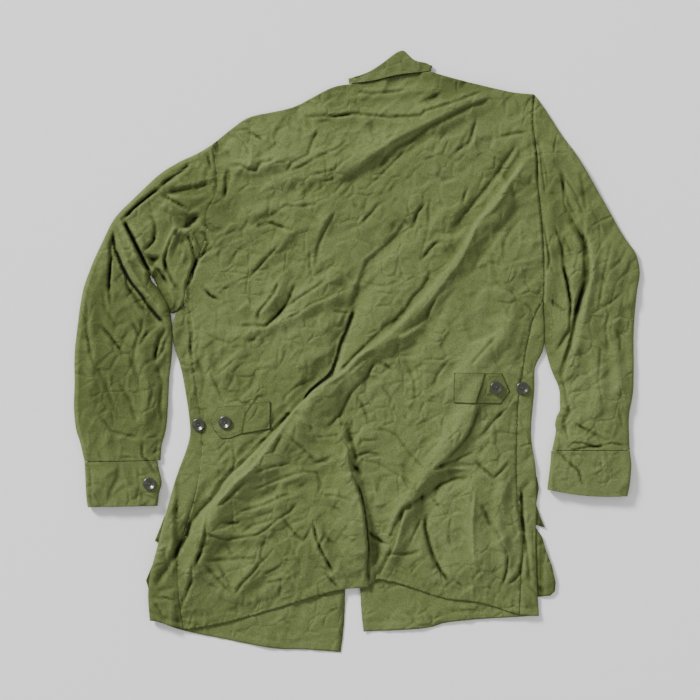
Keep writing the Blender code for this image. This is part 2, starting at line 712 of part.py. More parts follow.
# lines that more than one piece is cut to
HOLE_LEFT = armhole_stations(curve(ARMHOLE_LEFT))
HOLE_RIGHT = armhole_stations(curve(ARMHOLE_RIGHT))
ROWS_LEFT = side_rows(curve(SIDE_LEFT), curve(SEAM_LEFT), UNDERARM_LEFT)
ROWS_RIGHT = side_rows(curve(SIDE_RIGHT), curve(SEAM_RIGHT), UNDERARM_RIGHT)

# back panel, cut to its own edges and draped over the lattice
back_outline = joined(curve(TOP_LEFT), curve(NECK), curve(TOP_RIGHT), HOLE_RIGHT,
                      [row[2:] for row in reversed(ROWS_RIGHT)], curve(HEM_RIGHT)[::-1],
                      curve(HEM_LEFT)[::-1], [row[2:] for row in ROWS_LEFT], HOLE_LEFT[::-1])
sheet("back", shrink(back_outline, SEAM_GAP / 2), "cloth", facet,
      lambda x, y: facet(x, y) - BACK_CLOTH)

# the two fronts
front("front_left", FRONT_HEM_LEFT[::-1], CENTRE_LEFT, ROWS_LEFT, HOLE_LEFT, TOP_LEFT, -1)
front("front_right", FRONT_HEM_RIGHT, CENTRE_RIGHT, ROWS_RIGHT, HOLE_RIGHT, TOP_RIGHT[::-1], 1)

# sleeves: first ring on the armhole, then the rings of the table
sleeve("sleeve_left", HOLE_LEFT, LEFT_RINGS, -0.5)
sleeve("sleeve_right", HOLE_RIGHT, RIGHT_RINGS, 0.5)

# cuffs
for name, rings in (("cuff_left", LEFT_CUFF), ("cuff_right", RIGHT_CUFF)):
    sections = [flat_ring(row[:2], row[2:4], CUFF_CLOTH, row[4], RING_LINES, roll=CUFF_ROLL)
                for row in rings]
    tube(name, sections, "trim_cloth")

# collar: a flattened band, the leaf under it reaching further out than the strip on top
def collar_section(share):
    """Closed section of the band at this share of its depth, leaf below and strip above."""
    neck = [(x, y + 1.0) for x, y in curve(NECK)]
    near = curve(COLLAR_NEAR)
    far = curve(COLLAR_FAR)

    def spot(edge, part):
        x0, y0 = along(neck, part)
        x1, y1 = along(edge, part)
        return blend(x0, x1, share), blend(y0, y1, share)

    outer = []
    inner = []
    parts = [blend(COLLAR_END, 1.0 - COLLAR_END, k / COLLAR_COLUMNS)
             for k in range(COLLAR_COLUMNS + 1)]
    for part in parts:
        x, y = spot(far, part)
        outer.append((x, y, COLLAR_FLOOR))
        inner.append((x, y, COLLAR_FLOOR + COLLAR_CLOTH))
    for end, order in ((parts[-1], 1), (parts[0], -1)):
        x0, y0 = spot(far, end)
        x1, y1 = spot(near, end)
        tip_x, tip_y = spot(far, 1.0 if order > 0 else 0.0)
        half = (COLLAR_TOP - COLLAR_FLOOR) / 2
        for k in range(1, ARC_STEPS + 1):
            turn = k / (ARC_STEPS + 1)
            if order < 0:
                turn = 1.0 - turn
            angle = (turn - 0.5) * math.pi
            base_x = blend(x0, x1, turn)
            base_y = blend(y0, y1, turn)
            for points, thin in ((outer, 0.0), (inner, COLLAR_CLOTH)):
                reach = math.cos(angle) * (tip_x - base_x - order * thin)
                slip = math.cos(angle) * (tip_y - base_y)
                z = COLLAR_FLOOR + half + (half - thin) * math.sin(angle)
                points.append((base_x + reach, base_y + slip, z))
        if order > 0:
            for part in reversed(parts):
                x, y = spot(near, part)
                z = COLLAR_TOP + COLLAR_ARCH * math.sin(math.pi * part) ** 0.5
                z = COLLAR_TOP + (z - COLLAR_TOP) * smooth((part - COLLAR_END) * 8) * smooth(
                    (1.0 - COLLAR_END - part) * 8)
                outer.append((x, y, z))
                inner.append((x, y, z - COLLAR_CLOTH))
    return outer, inner


tube("collar", [collar_section(k / 4) for k in range(5)], "trim_cloth")

# waist tabs lie on the back and follow its facets
for name, corners in (("waist_tab_left", TAB_LEFT), ("waist_tab_right", TAB_RIGHT)):
    sheet(name, list(corners), "trim_cloth",
          lambda x, y: facet(x, y) + TRIM_GAP + TAB_CLOTH, lambda x, y: facet(x, y) + TRIM_GAP)

# pockets and flaps lie under the fronts and show past the sides
for name, corners in (("pocket_right", POCKET_RIGHT), ("pocket_left", POCKET_LEFT),
                      ("pocket_flap_right", FLAP_RIGHT), ("pocket_flap_left", FLAP_LEFT)):
    sheet(name, list(corners), "trim_cloth", lambda x, y: POCKET_CLOTH, lambda x, y: 0.0,
          pitch=40.0, diagonals=False)

# buttons
SEATS = {
    "tab": lambda x, y: facet(x, y) + TRIM_GAP + TAB_CLOTH,
    "cloth": lambda x, y: max(facet(x, y), drape(x, y)) + SEAM_GAP,
    "cuff": drape,
}
for name, x, y, seat in BUTTONS:
    button(name, x, y, SEATS[seat])
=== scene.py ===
import math

import bmesh
import bpy
import numpy as np
from mathutils import Matrix, Vector


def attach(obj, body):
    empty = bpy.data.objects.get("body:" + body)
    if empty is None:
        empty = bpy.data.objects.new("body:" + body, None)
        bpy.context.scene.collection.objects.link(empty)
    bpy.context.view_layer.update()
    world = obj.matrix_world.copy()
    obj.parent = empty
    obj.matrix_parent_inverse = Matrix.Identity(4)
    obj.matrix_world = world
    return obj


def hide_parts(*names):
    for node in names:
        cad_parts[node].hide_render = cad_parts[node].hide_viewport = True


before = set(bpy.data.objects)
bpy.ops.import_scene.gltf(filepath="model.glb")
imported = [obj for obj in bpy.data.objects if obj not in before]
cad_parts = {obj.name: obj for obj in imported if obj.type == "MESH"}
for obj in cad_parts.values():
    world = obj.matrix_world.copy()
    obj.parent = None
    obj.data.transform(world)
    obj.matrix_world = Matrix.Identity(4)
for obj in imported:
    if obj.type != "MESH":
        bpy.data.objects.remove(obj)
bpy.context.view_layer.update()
mm = 0.001
chance = np.random.RandomState(41)

# tables are in millimetres on the surface the shirt lies on, x to the right and y to the collar,
# unless a note says otherwise

photoView = {"across": 1050.0, "height": 3000.0, "centre": (-10.2, 2.1), "sensor": 36.0}


def makeCamera():
    lens = bpy.data.cameras.new("photoCamera")
    lens.sensor_width = photoView["sensor"]
    lens.lens = photoView["sensor"] * photoView["height"] / photoView["across"]
    lens.clip_end = 20.0
    camera = bpy.data.objects.new("photoCamera", lens)
    camera.location = (photoView["centre"][0] * mm, photoView["centre"][1] * mm, photoView["height"] * mm)
    bpy.context.scene.collection.objects.link(camera)
    bpy.context.scene.camera = camera


makeCamera()
print("camera placed")

# seams and edges, as the solids have them
edges = {
    "topLeft": [(-216, 310), (-184, 336), (-157, 352), (-97, 365), (-40, 394), (-12, 400)],
    "neck": [(-12, 400), (24, 404), (58, 412), (88, 416), (111, 419)],
    "topRight": [(111, 419), (137, 411), (192, 397), (234, 388), (266, 385)],
    "holeRight": [(266, 385), (263, 345), (269, 295), (270, 255), (276, 200), (280, 130), (279, 77)],
    "holeLeft": [(-216, 310), (-210, 269), (-209, 239), (-224, 209), (-225, 173), (-237, 140),
                 (-253, 104), (-259, 70)],
    "seamRight": [(279, 77), (262, 45), (248, -25), (240, -88), (239, -215), (248, -287),
                  (245, -335), (243, -394)],
    "seamLeft": [(-259, 70), (-251, 40), (-247, -5), (-238, -70), (-231, -130), (-241, -212),
                 (-266, -300), (-266, -365), (-259, -416)],
    "sideRight": [(279, 77), (281, 10), (267, -24), (266, -60), (261, -122), (268, -175),
                  (269, -223), (268, -310), (273, -396)],
    "sideLeft": [(-259, 70), (-270, 58), (-275, 42), (-275.5, 20), (-272, 2), (-262, -32), (-251, -100),
                 (-252, -136), (-273, -196), (-298, -290), (-312, -350), (-310, -403)],
    "hemLeft": [(-259, -416), (-201, -407), (-129, -387), (-54, -364), (-20, -356), (16, -353)],
    "hemRight": [(33, -340), (72, -350), (129, -369), (183, -376), (243, -394)],
    "frontHemLeft": [(-310, -403), (-272, -417), (-215, -429), (-129, -445), (-79, -447), (-24, -451)],
    "frontHemRight": [(10, -420), (80, -417), (116, -413), (140, -406), (195, -401), (273, -396)],
    "centreLeft": [(-24, -451), (-18, -388), (-17, -253), (-12, 60), (-8, 330)],
    "centreRight": [(10, -420), (5, -353), (3, -148), (2, 60), (1, 330)],
    "collarNear": [(-11, 407), (13, 412), (50, 426), (82, 435), (99, 429), (112, 427)],
    "collarFar": [(-13, 409), (13, 417), (34, 429), (58, 447), (70, 451), (77, 445), (88, 436),
                  (106, 432), (114, 428)],
}
# each row: one end, the other end, bow, and how far the lower layer reaches past the second end
ringsLeft = [
    (-238, 297, -275, 60, 0, 6), (-266, 284, -283, 78, 0, 9), (-296, 265, -292, 95, 0, 9),
    (-332, 231, -302, 112, 0, 7), (-363, 199, -311, 116, 0, 4), (-384, 158, -310, 104, 0, 6),
    (-399, 124, -298, 90, 0, 6), (-411, 87, -285, 69, 0, 5), (-420, 25, -279, 44, 0, 3),
    (-423, -8, -277.5, 2, 0, 2), (-423, -50, -281, -42, 0, 0), (-424, -84, -283, -88, 0, 0),
    (-421, -115, -286, -118, 0, 0), (-414, -138, -292, -140, 0, 0), (-408, -165, -294, -163, 0, 0)]
ringsRight = [
    (284, 360, 283, 52, 4, 3), (306, 326, 283, 20, 5, 3), (330, 293, 285, -4, 5, 1),
    (354, 253, 290, -24, 5, 0), (377, 212, 295, -37, 4, 0), (400, 172, 301, -50, 2, 0),
    (418, 146, 304, -62, 0, 0), (424, 118, 304, -75, 0, 0), (419, 84, 304, -88, 0, 0),
    (415, 30, 300, -96, 0, 0), (415, -20, 298, -103, 0, 0), (414, -60, 297, -110, 0, 0),
    (408, -95, 298, -119, 0, 0), (408, -128, 295, -135, 0, 0), (409, -148, 292, -148, 0, 0)]
cuffRings = {
    "cuff_left": [(-408, -165.7, -299, -163.7, 0), (-407, -182, -296, -178, 0), (-406, -200, -292, -197, 0),
                  (-405, -218, -296, -213, 0), (-403, -233, -298, -231, 0)],
    "cuff_right": [(291, -148.8, 409, -148.8, 0), (290, -166, 411, -168, 0), (288, -182, 410, -186, 0),
                   (286, -197, 408, -203, -2), (285, -207, 405, -217, -4)],
}


def ease(t):
    t = np.clip(t, 0.0, 1.0)
    return t * t * (3.0 - 2.0 * t)


def mix(a, b, t):
    return a + (b - a) * t


def curve(rows, steps=4):
    # Catmull-Rom through rows of any width
    rows = np.array(rows, dtype=float)
    last = len(rows) - 1
    found = []
    for i in range(last):
        a, b, c, d = rows[max(i - 1, 0)], rows[i], rows[i + 1], rows[min(i + 2, last)]
        for k in range(steps):
            t = k / steps
            found.append(0.5 * (2 * b + (c - a) * t + (2 * a - 5 * b + 4 * c - d) * t * t
                                + (3 * b - a - 3 * c + d) * t ** 3))
    found.append(rows[last])
    return np.array(found)


lines = {name: curve(rows) for name, rows in edges.items()}


def xAt(line, y):
    order = np.argsort(line[:, 1])
    return np.interp(y, line[order, 1], line[order, 0])


def yAt(line, x):
    order = np.argsort(line[:, 0])
    return np.interp(x, line[order, 0], line[order, 1])


def alongLine(line, share):
    steps = np.hypot(*(line[1:] - line[:-1]).T)
    run = np.concatenate([[0.0], np.cumsum(steps)])
    return np.stack([np.interp(share * run[-1], run, line[:, 0]),
                     np.interp(share * run[-1], run, line[:, 1])], axis=-1)


def measurePath(path, x, y):
    # signed distance (left of the path above zero), run along it, length
    path = np.array(path, dtype=float)
    best = np.full(np.shape(x), 1e9)
    signed = np.zeros(np.shape(x))
    run = np.zeros(np.shape(x))
    walked = 0.0
    for a, b in zip(path[:-1], path[1:]):
        d = b - a
        size = math.hypot(*d)
        if size < 1e-6:
            continue
        t = np.clip(((x - a[0]) * d[0] + (y - a[1]) * d[1]) / size ** 2, 0.0, 1.0)
        away = np.hypot(x - a[0] - d[0] * t, y - a[1] - d[1] * t)
        side = d[0] * (y - a[1]) - d[1] * (x - a[0])
        nearer = away < best
        best = np.where(nearer, away, best)
        signed = np.where(nearer, np.copysign(away, side), signed)
        run = np.where(nearer, walked + size * t, run)
        walked += size
    return signed, run, walked


# the cloth's height is kept on one fine grid over the whole shirt
grid = {"x0": -450.0, "y0": -480.0, "step": 1.5, "columns": 601, "rows": 641}
gridX, gridY = np.meshgrid(grid["x0"] + grid["step"] * np.arange(grid["columns"]),
                           grid["y0"] + grid["step"] * np.arange(grid["rows"]))


def windowOf(path, reach):
    path = np.array(path, dtype=float)
    low = (path.min(axis=0) - reach - (grid["x0"], grid["y0"])) / grid["step"]
    high = (path.max(axis=0) + reach - (grid["x0"], grid["y0"])) / grid["step"]
    i0, j0 = np.maximum(np.floor(low).astype(int), 0)
    i1, j1 = np.ceil(high).astype(int) + 1
    return slice(j0, max(j1, j0)), slice(i0, max(i1, i0))


def sample(values, x, y):
    u = np.clip((np.asarray(x) - grid["x0"]) / grid["step"], 0, grid["columns"] - 1.001)
    v = np.clip((np.asarray(y) - grid["y0"]) / grid["step"], 0, grid["rows"] - 1.001)
    i, j = u.astype(int), v.astype(int)
    u, v = u - i, v - j
    low = values[j, i] * (1 - u) + values[j, i + 1] * u
    high = values[j + 1, i] * (1 - u) + values[j + 1, i + 1] * u
    return low * (1 - v) + high * v


# a crease falls away from its crest by this power; a fold fades at its ends over a length, to a share
foldForm = {"crisp": 1.9, "fade": 28.0, "least": 0.35}


def addFold(values, path, height, left, right, sharp=0.0, fade=foldForm["fade"], least=foldForm["least"]):
    # sharp 0 is a soft roll, 1 a crease with a crisp crest
    area = windowOf(path, max(left, right))
    x, y = gridX[area], gridY[area]
    if x.size == 0:
        return
    away, run, length = measurePath(path, x, y)
    t = np.clip(1.0 - np.abs(away) / np.where(away > 0, left, right), 0.0, 1.0)
    shape = mix(ease(t), t ** foldForm["crisp"], sharp)
    ends = least + (1.0 - least) * ease(np.minimum(run, length - run) / fade)
    values[area] += height * shape * ends


# large folds, the same as in the solids: path, height, width left and right of the path
largeFolds = [
    ([(257, 290), (215, 235), (185, 194), (147, 138), (101, 79), (59, 35), (10, -5), (-20, -40)], 8, 34, 11),
    ([(-20, -40), (-60, -72), (-100, -112), (-145, -158), (-210, -222), (-236, -275), (-255, -350)],
     15, 46, 26),
    ([(82, 197), (40, 165), (12, 140), (-7, 92), (-12, 40), (-32, -5)], -7, 34, 30),
    ([(-30, -12), (-78, -66), (-98, -100), (-140, -145), (-190, -192), (-222, -222), (-248, -262)],
     -8, 20, 26),
    ([(205, 385), (140, 356), (70, 324), (10, 290), (-45, 262)], 9, 26, 34),
    ([(-97, 361), (-10, 354), (60, 352), (120, 368), (185, 392)], 4, 24, 20),
    ([(-30, 381), (20, 386), (80, 391), (140, 395)], 4, 18, 16),
    ([(235, 300), (200, 255), (165, 205), (140, 165)], -5, 24, 18),
    ([(-22, -120), (-12, -165), (2, -226), (8, -262), (16, -345)], 8, 14, 52),
    ([(66, -228), (56, -290), (42, -322)], 8, 20, 26),
    ([(14, -262), (24, -295), (26, -325)], -6, 22, 22),
    ([(190, -36), (167, -84), (108, -178), (84, -214), (58, -248)], 9, 30, 24),
    ([(172, -176), (130, -190), (100, -216), (98, -260), (136, -338)], -5, 26, 20),
    ([(173, -182), (174, -270), (196, -345)], 5, 26, 28),
    ([(222, -180), (212, -260), (226, -350)], 5, 16, 18),
    ([(230, 62), (218, 22), (170, -22), (142, -60)], 6, 24, 24),
    ([(128, 82), (102, 30), (74, -8), (84, -54)], -4, 24, 24),
    ([(110, 160), (160, 172)], 5, 18, 18),
    ([(-192, 280), (-166, 276), (-140, 278), (-112, 292)], 6, 18, 20),
    ([(-100, 277), (-30, 300), (-8, 326)], 5, 20, 22),
    ([(-124, 252), (-72, 262), (-30, 276)], 4, 16, 16),
    ([(-32, 220), (-50, 192), (-62, 165)], 5, 18, 18),
    ([(-90, 210), (-97, 182), (-134, 138)], 4, 20, 20),
    ([(-170, 202), (-128, 216), (-88, 216)], 4, 16, 16),
    ([(-114, 110), (-125, 78), (-150, 42)], 6, 22, 20),
    ([(-90, 106), (-102, 76), (-128, 50), (-175, 40)], -4, 16, 20),
    ([(-20, 118), (-62, 92), (-102, 74)], 6, 18, 18),
    ([(2, 96), (-64, 70), (-104, 48), (-150, 36)], 5, 18, 18),
    ([(-190, 8), (-172, 24), (-154, 34)], 5, 24, 20),
    ([(-178, -8), (-200, -36), (-212, -40)], 4, 16, 16),
    ([(-158, -30), (-126, -22)], 3, 16, 16),
    ([(-62, -4), (-100, -28)], 4, 18, 18),
    ([(-225, 22), (-222, -30), (-214, -62)], 4, 12, 14),
    ([(-156, -184), (-98, -166)], 4, 18, 18),
    ([(-156, -208), (-66, -180)], 5, 18, 18),
    ([(-170, -240), (-92, -216)], 6, 20, 18),
    ([(-228, -272), (-156, -277), (-106, -240)], 5, 20, 18),
    ([(-64, -252), (-54, -290), (-36, -332)], 6, 20, 20),
    ([(-147, -309), (-182, -366)], 6, 20, 20),
    ([(-66, -127), (-28, -127)], 5, 16, 16),
    ([(-103, -123), (-52, -164), (-38, -156)], 5, 18, 18),
    ([(-60, -212), (-14, -222)], 4, 18, 18),
    ([(-281, 158), (-270, 180), (-252, 176), (-238, 142)], 6, 14, 14),
    ([(-236, 200), (-262, 196)], -4, 14, 14),
    ([(-270, 182), (-288, 142)], 6, 14, 14),
    ([(-300, 248), (-345, 205)], 6, 16, 14),
    ([(-362, 160), (-348, 108), (-332, 84), (-308, 60), (-298, 30)], -5, 16, 16),
    ([(-378, 150), (-384, 96)], 5, 14, 14),
    ([(-400, 90), (-396, 10), (-400, -70)], 4, 16, 16),
    ([(-330, 20), (-310, -60), (-322, -130)], 4, 18, 16),
    ([(-380, -100), (-372, -160)], 3, 14, 14),
    ([(357, 165), (357, 137), (347, 76), (336, 32), (324, -16)], 7, 28, 13),
    ([(300, 250), (310, 180), (306, 110), (296, 50)], -4, 22, 20),
    ([(382, 160), (366, 60)], 5, 18, 18),
    ([(350, 32), (362, -50), (352, -110)], 4, 18, 18),
    ([(385, 20), (396, -80)], 4, 14, 16),
    ([(300, 330), (352, 250), (396, 172)], 4, 20, 18),
    ([(330, -176), (338, -204)], 2, 12, 12),
    ([(362, -156), (370, -204)], 2, 12, 12),
]


# how the photo lies on the cloth: its middle, and the millimetres one of its points covers
photoScale = {"middle": (356.8, 351.4), "size": 1.5}


def marked(left, top, zoom, rows):
    # rows are height, width left and right of the path, sharpness and the path, in points of a
    # close-up whose corner is at left, top of the photo and which is enlarged zoom times
    (middleX, middleY), size = photoScale["middle"], photoScale["size"]
    found = []
    for height, onLeft, onRight, sharp, *path in rows:
        path = [((left + u / zoom - middleX) * size, (middleY - top - v / zoom) * size) for u, v in path]
        found.append((path, height, onLeft, onRight, sharp))
    return found


# the folds and creases that can be told apart, region by region
creases = marked(120, 330, 5.227, [
    # the long gully beside the roll, and the narrow fold on its far side
    (-6.5, 5, 12, 0.4, (1170, 0), (1125, 130), (1110, 240), (1010, 330), (950, 390), (870, 480), (790, 560),
     (740, 620), (640, 720), (590, 760), (540, 800), (480, 880), (420, 940), (375, 1000), (350, 1080),
     (290, 1180)),
    (5.0, 8, 7, 0.5, (1330, 80), (1240, 140), (1180, 210), (1080, 290), (1000, 350), (930, 420), (880, 500),
     (830, 580), (780, 640), (700, 740), (640, 790), (560, 850), (500, 915)),
    (-4.0, 9, 5, 0.6, (1335, 150), (1290, 240), (1200, 330), (1150, 440), (1080, 510)),
    (-4.0, 7, 4, 0.6, (870, 545), (820, 620), (800, 665)),
    (-4.0, 7, 4, 0.7, (680, 770), (620, 830), (560, 880), (500, 925)),
    (-2.6, 5, 5, 1, (1000, 560), (1080, 555), (1135, 545), (1135, 600)),
    (-4.0, 8, 7, 0.8, (870, 540), (960, 620), (1030, 690), (1080, 680), (1110, 650)),
    (-3.4, 6, 6, 1, (690, 755), (800, 710), (900, 690)),
    (-3.0, 6, 6, 1, (690, 835), (800, 790), (880, 760), (960, 735), (1030, 745), (1050, 800), (1030, 870)),
    (-4.2, 7, 7, 0.9, (620, 950), (750, 910), (860, 860), (910, 855)),
    (-2.6, 5, 5, 1, (540, 1000), (610, 1010), (640, 985)),
    (-3.0, 6, 6, 1, (1200, 665), (1300, 635), (1380, 655)),
    (-3.4, 5, 5, 1, (1210, 690), (1260, 755)),
    (5.0, 3.5, 44, 0.4, (1185, 620), (1210, 770), (1240, 900), (1265, 1040), (1280, 1200)),
    (-3.2, 5, 5, 1, (540, 385), (620, 365), (640, 380), (700, 385), (720, 350), (780, 340)),
    (-3.0, 6, 6, 1, (850, 380), (870, 340), (930, 290), (1000, 260)),
    (-3.2, 5, 6, 1, (500, 240), (560, 190), (610, 145)),
    (-2.6, 5, 6, 1, (690, 215), (800, 190)),
    (-2.8, 6, 6, 1, (590, 600), (540, 650), (500, 710)),
    (-2.8, 6, 6, 1, (600, 760), (605, 690), (590, 590)),
    (-2.6, 5, 5, 1, (540, 330), (580, 320), (640, 320)),
    (-2.2, 5, 6, 1, (880, 80), (850, 160), (810, 220)),
    (-2.4, 5, 5, 1, (380, 0), (370, 90), (385, 180)),
    (-2.4, 5, 5, 1, (430, 10), (520, 50), (580, 70), (640, 30)),
    (-2.2, 5, 5, 1, (400, 140), (440, 250), (420, 380)),
    (-2.4, 5, 5, 1, (410, 570), (440, 605), (480, 590)),
    (-2.2, 5, 5, 1, (310, 760), (330, 700), (360, 660)),
    (-2.6, 6, 6, 1, (100, 250), (130, 180), (190, 140)),
    (-3.0, 5, 5, 1, (1360, 150), (1400, 190), (1440, 215)),
    (-2.2, 6, 5, 1, (740, 10), (700, 50), (650, 70)),
])
creases += marked(330, 330, 5.41, [
    # right of the centre fold, below the tab
    (-3.0, 6, 6, 0.8, (110, 560), (130, 640), (140, 690), (190, 665), (280, 680)),
    (-3.6, 10, 12, 0.3, (100, 490), (105, 560), (115, 640)),
    (-3.6, 5, 5, 1, (110, 710), (170, 780)),
    (-4.4, 6, 6, 0.8, (180, 1080), (240, 1120), (310, 1160)),
    (4.4, 6, 30, 0.5, (830, 260), (790, 390), (760, 510), (700, 610), (630, 680), (545, 755)),
    (-5.5, 11, 6, 0.6, (530, 880), (450, 930), (395, 960), (350, 1050), (315, 1140)),
    (-4.4, 6, 7, 0.8, (540, 880), (600, 830), (680, 800), (760, 795)),
    (4.0, 8, 7, 0.7, (545, 770), (640, 745), (760, 752)),
    (-3.8, 6, 6, 0.8, (560, 745), (680, 700), (770, 660), (780, 640)),
    (3.4, 9, 9, 0.9, (760, 790), (775, 900), (765, 1050), (770, 1200), (790, 1290)),
    (-4.8, 9, 6, 0.8, (525, 980), (510, 1060), (530, 1150), (560, 1240), (600, 1310), (645, 1360)),
    (-2.8, 6, 6, 1, (500, 1000), (440, 1130), (420, 1180)),
    (-3.6, 7, 6, 0.9, (300, 1215), (360, 1205), (430, 1210), (500, 1185)),
    (-3.6, 5, 5, 1, (670, 1350), (730, 1390)),
    (-2.4, 5, 5, 1, (530, 1280), (590, 1290)),
    (-3.0, 5, 5, 1, (535, 890), (600, 970)),
    (-2.8, 7, 6, 1, (780, 700), (830, 750), (880, 800), (940, 750), (990, 700)),
    (-4.2, 8, 7, 0.6, (1030, 850), (1040, 1000), (1050, 1100), (1070, 1250), (1080, 1380)),
    (-3.4, 5, 5, 0.8, (1090, 1050), (1095, 1200), (1110, 1400)),
    (-2.8, 6, 6, 0.9, (960, 1200), (950, 1300), (930, 1400)),
    (-3.2, 6, 6, 0.9, (250, 160), (290, 190), (350, 220)),
    (-2.6, 6, 7, 0.9, (400, 150), (455, 280), (460, 400)),
    (-2.4, 6, 6, 1, (550, 170), (470, 200), (480, 270)),
    (-2.8, 6, 6, 1, (640, 160), (580, 240), (550, 330)),
    (-3.2, 6, 6, 1, (900, 30), (790, 150), (750, 200)),
    (-3.0, 5, 5, 1, (495, 430), (515, 500)),
    (-2.4, 5, 5, 1, (400, 440), (415, 490)),
    (-3.6, 7, 6, 0.8, (150, 360), (190, 440), (210, 510)),
    (-3.0, 5, 5, 1, (115, 460), (125, 560)),
    (-2.6, 7, 6, 1, (200, 540), (300, 540), (360, 570), (440, 680), (520, 760)),
    (-2.4, 6, 6, 1, (490, 700), (540, 640), (600, 580)),
    (-2.2, 6, 6, 1, (130, 690), (260, 720), (400, 800), (470, 850)),
    (-2.2, 6, 6, 1, (640, 500), (655, 580), (665, 640)),
    (-2.4, 6, 6, 1, (960, 420), (890, 480), (820, 560)),
    (-2.2, 5, 5, 1, (870, 560), (850, 620), (780, 680)),
    (-2.4, 6, 5, 1, (1060, 500), (1080, 620), (1050, 720)),
    (-2.4, 6, 6, 1, (820, 960), (860, 1040), (900, 1110), (940, 1200)),
    (-2.2, 6, 6, 1, (905, 920), (930, 1010)),
    (-2.2, 6, 6, 1, (660, 990), (640, 1100), (660, 1200)),
    (-2.0, 6, 6, 1, (860, 1180), (940, 1200), (975, 1180)),
    (-2.6, 6, 6, 1, (270, 290), (330, 370), (320, 430)),
    (-2.4, 5, 5, 1, (1040, 200), (1045, 260), (1030, 330)),
    (-3.0, 5, 5, 0.9, (1060, 1380), (1110, 1420), (1115, 1480)),
    (-2.2, 5, 5, 1, (780, 1400), (860, 1390), (900, 1410)),
])
creases += marked(330, 90, 6.535, [
    # under the right shoulder
    (-4.2, 6, 5, 0.8, (0, 185), (160, 160), (380, 185), (590, 175), (620, 145), (800, 90), (1000, 10)),
    (-4.0, 6, 6, 0.8, (170, 10), (270, 30), (380, 20), (520, 0)),
    (-3.6, 8, 7, 0.6, (560, 95), (640, 70), (740, 20)),
    (-4.2, 13, 5, 0.4, (1040, 60), (880, 130), (760, 190), (640, 250), (540, 330), (440, 380), (370, 440),
     (310, 520)),
    (2.6, 6, 18, 0.4, (900, 90), (700, 190), (560, 262), (400, 342), (280, 440), (150, 540), (40, 600)),
    (-2.8, 5, 5, 1, (500, 390), (400, 490), (300, 590), (230, 650), (150, 655)),
    (-3.2, 7, 7, 0.9, (480, 830), (500, 870), (540, 900), (570, 800), (630, 730)),
    (5.0, 7, 32, 0.4, (480, 840), (420, 930), (330, 1020), (220, 1110), (200, 1180), (150, 1300),
     (110, 1430)),
    (-3.0, 9, 6, 0.6, (1220, 350), (1130, 490), (1050, 600), (970, 700), (880, 800), (800, 900)),
    (2.4, 8, 10, 0.4, (1270, 480), (1180, 600), (1120, 700), (1040, 800), (950, 860), (920, 950), (830, 1130),
     (760, 1220), (680, 1330), (560, 1490)),
    (-3.2, 7, 6, 0.9, (780, 960), (690, 1000), (640, 1050), (590, 1120)),
    (-3.6, 8, 6, 0.8, (640, 1160), (650, 1200), (600, 1290), (540, 1350), (480, 1440), (370, 1550)),
    (-2.8, 5, 6, 1, (960, 180), (930, 280), (900, 350), (840, 390), (800, 440)),
    (-2.4, 6, 6, 1, (780, 250), (720, 330), (690, 400)),
    (-2.6, 5, 6, 1, (890, 640), (870, 720), (850, 770)),
    (-2.0, 6, 6, 1, (660, 540), (740, 590), (850, 570)),
    (-2.8, 5, 6, 1, (1240, 1380), (1300, 1420), (1340, 1480)),
    (-2.2, 6, 6, 1, (1060, 1230), (1130, 1300), (1190, 1330), (1200, 1260)),
    (-3.0, 4, 5, 1, (1340, 370), (1350, 480), (1352, 590)),
    (-2.4, 6, 6, 1, (1280, 280), (1180, 290), (1080, 320)),
    (-2.4, 6, 6, 1, (380, 710), (310, 760), (290, 790), (200, 870)),
    (-2.2, 6, 6, 1, (660, 690), (640, 780), (650, 900)),
    (-2.2, 5, 5, 1, (450, 700), (420, 750)),
    (-2.0, 6, 6, 1, (700, 1340), (640, 1440), (620, 1540)),
    (-2.2, 7, 6, 1, (1240, 840), (1150, 960), (1120, 1060)),
    (-2.0, 6, 6, 1, (1010, 1120), (1100, 1140), (1090, 1080)),
    (-2.6, 6, 6, 1, (0, 1450), (80, 1450), (140, 1460)),
    (-2.2, 6, 6, 1, (260, 1270), (360, 1280), (480, 1240)),
])
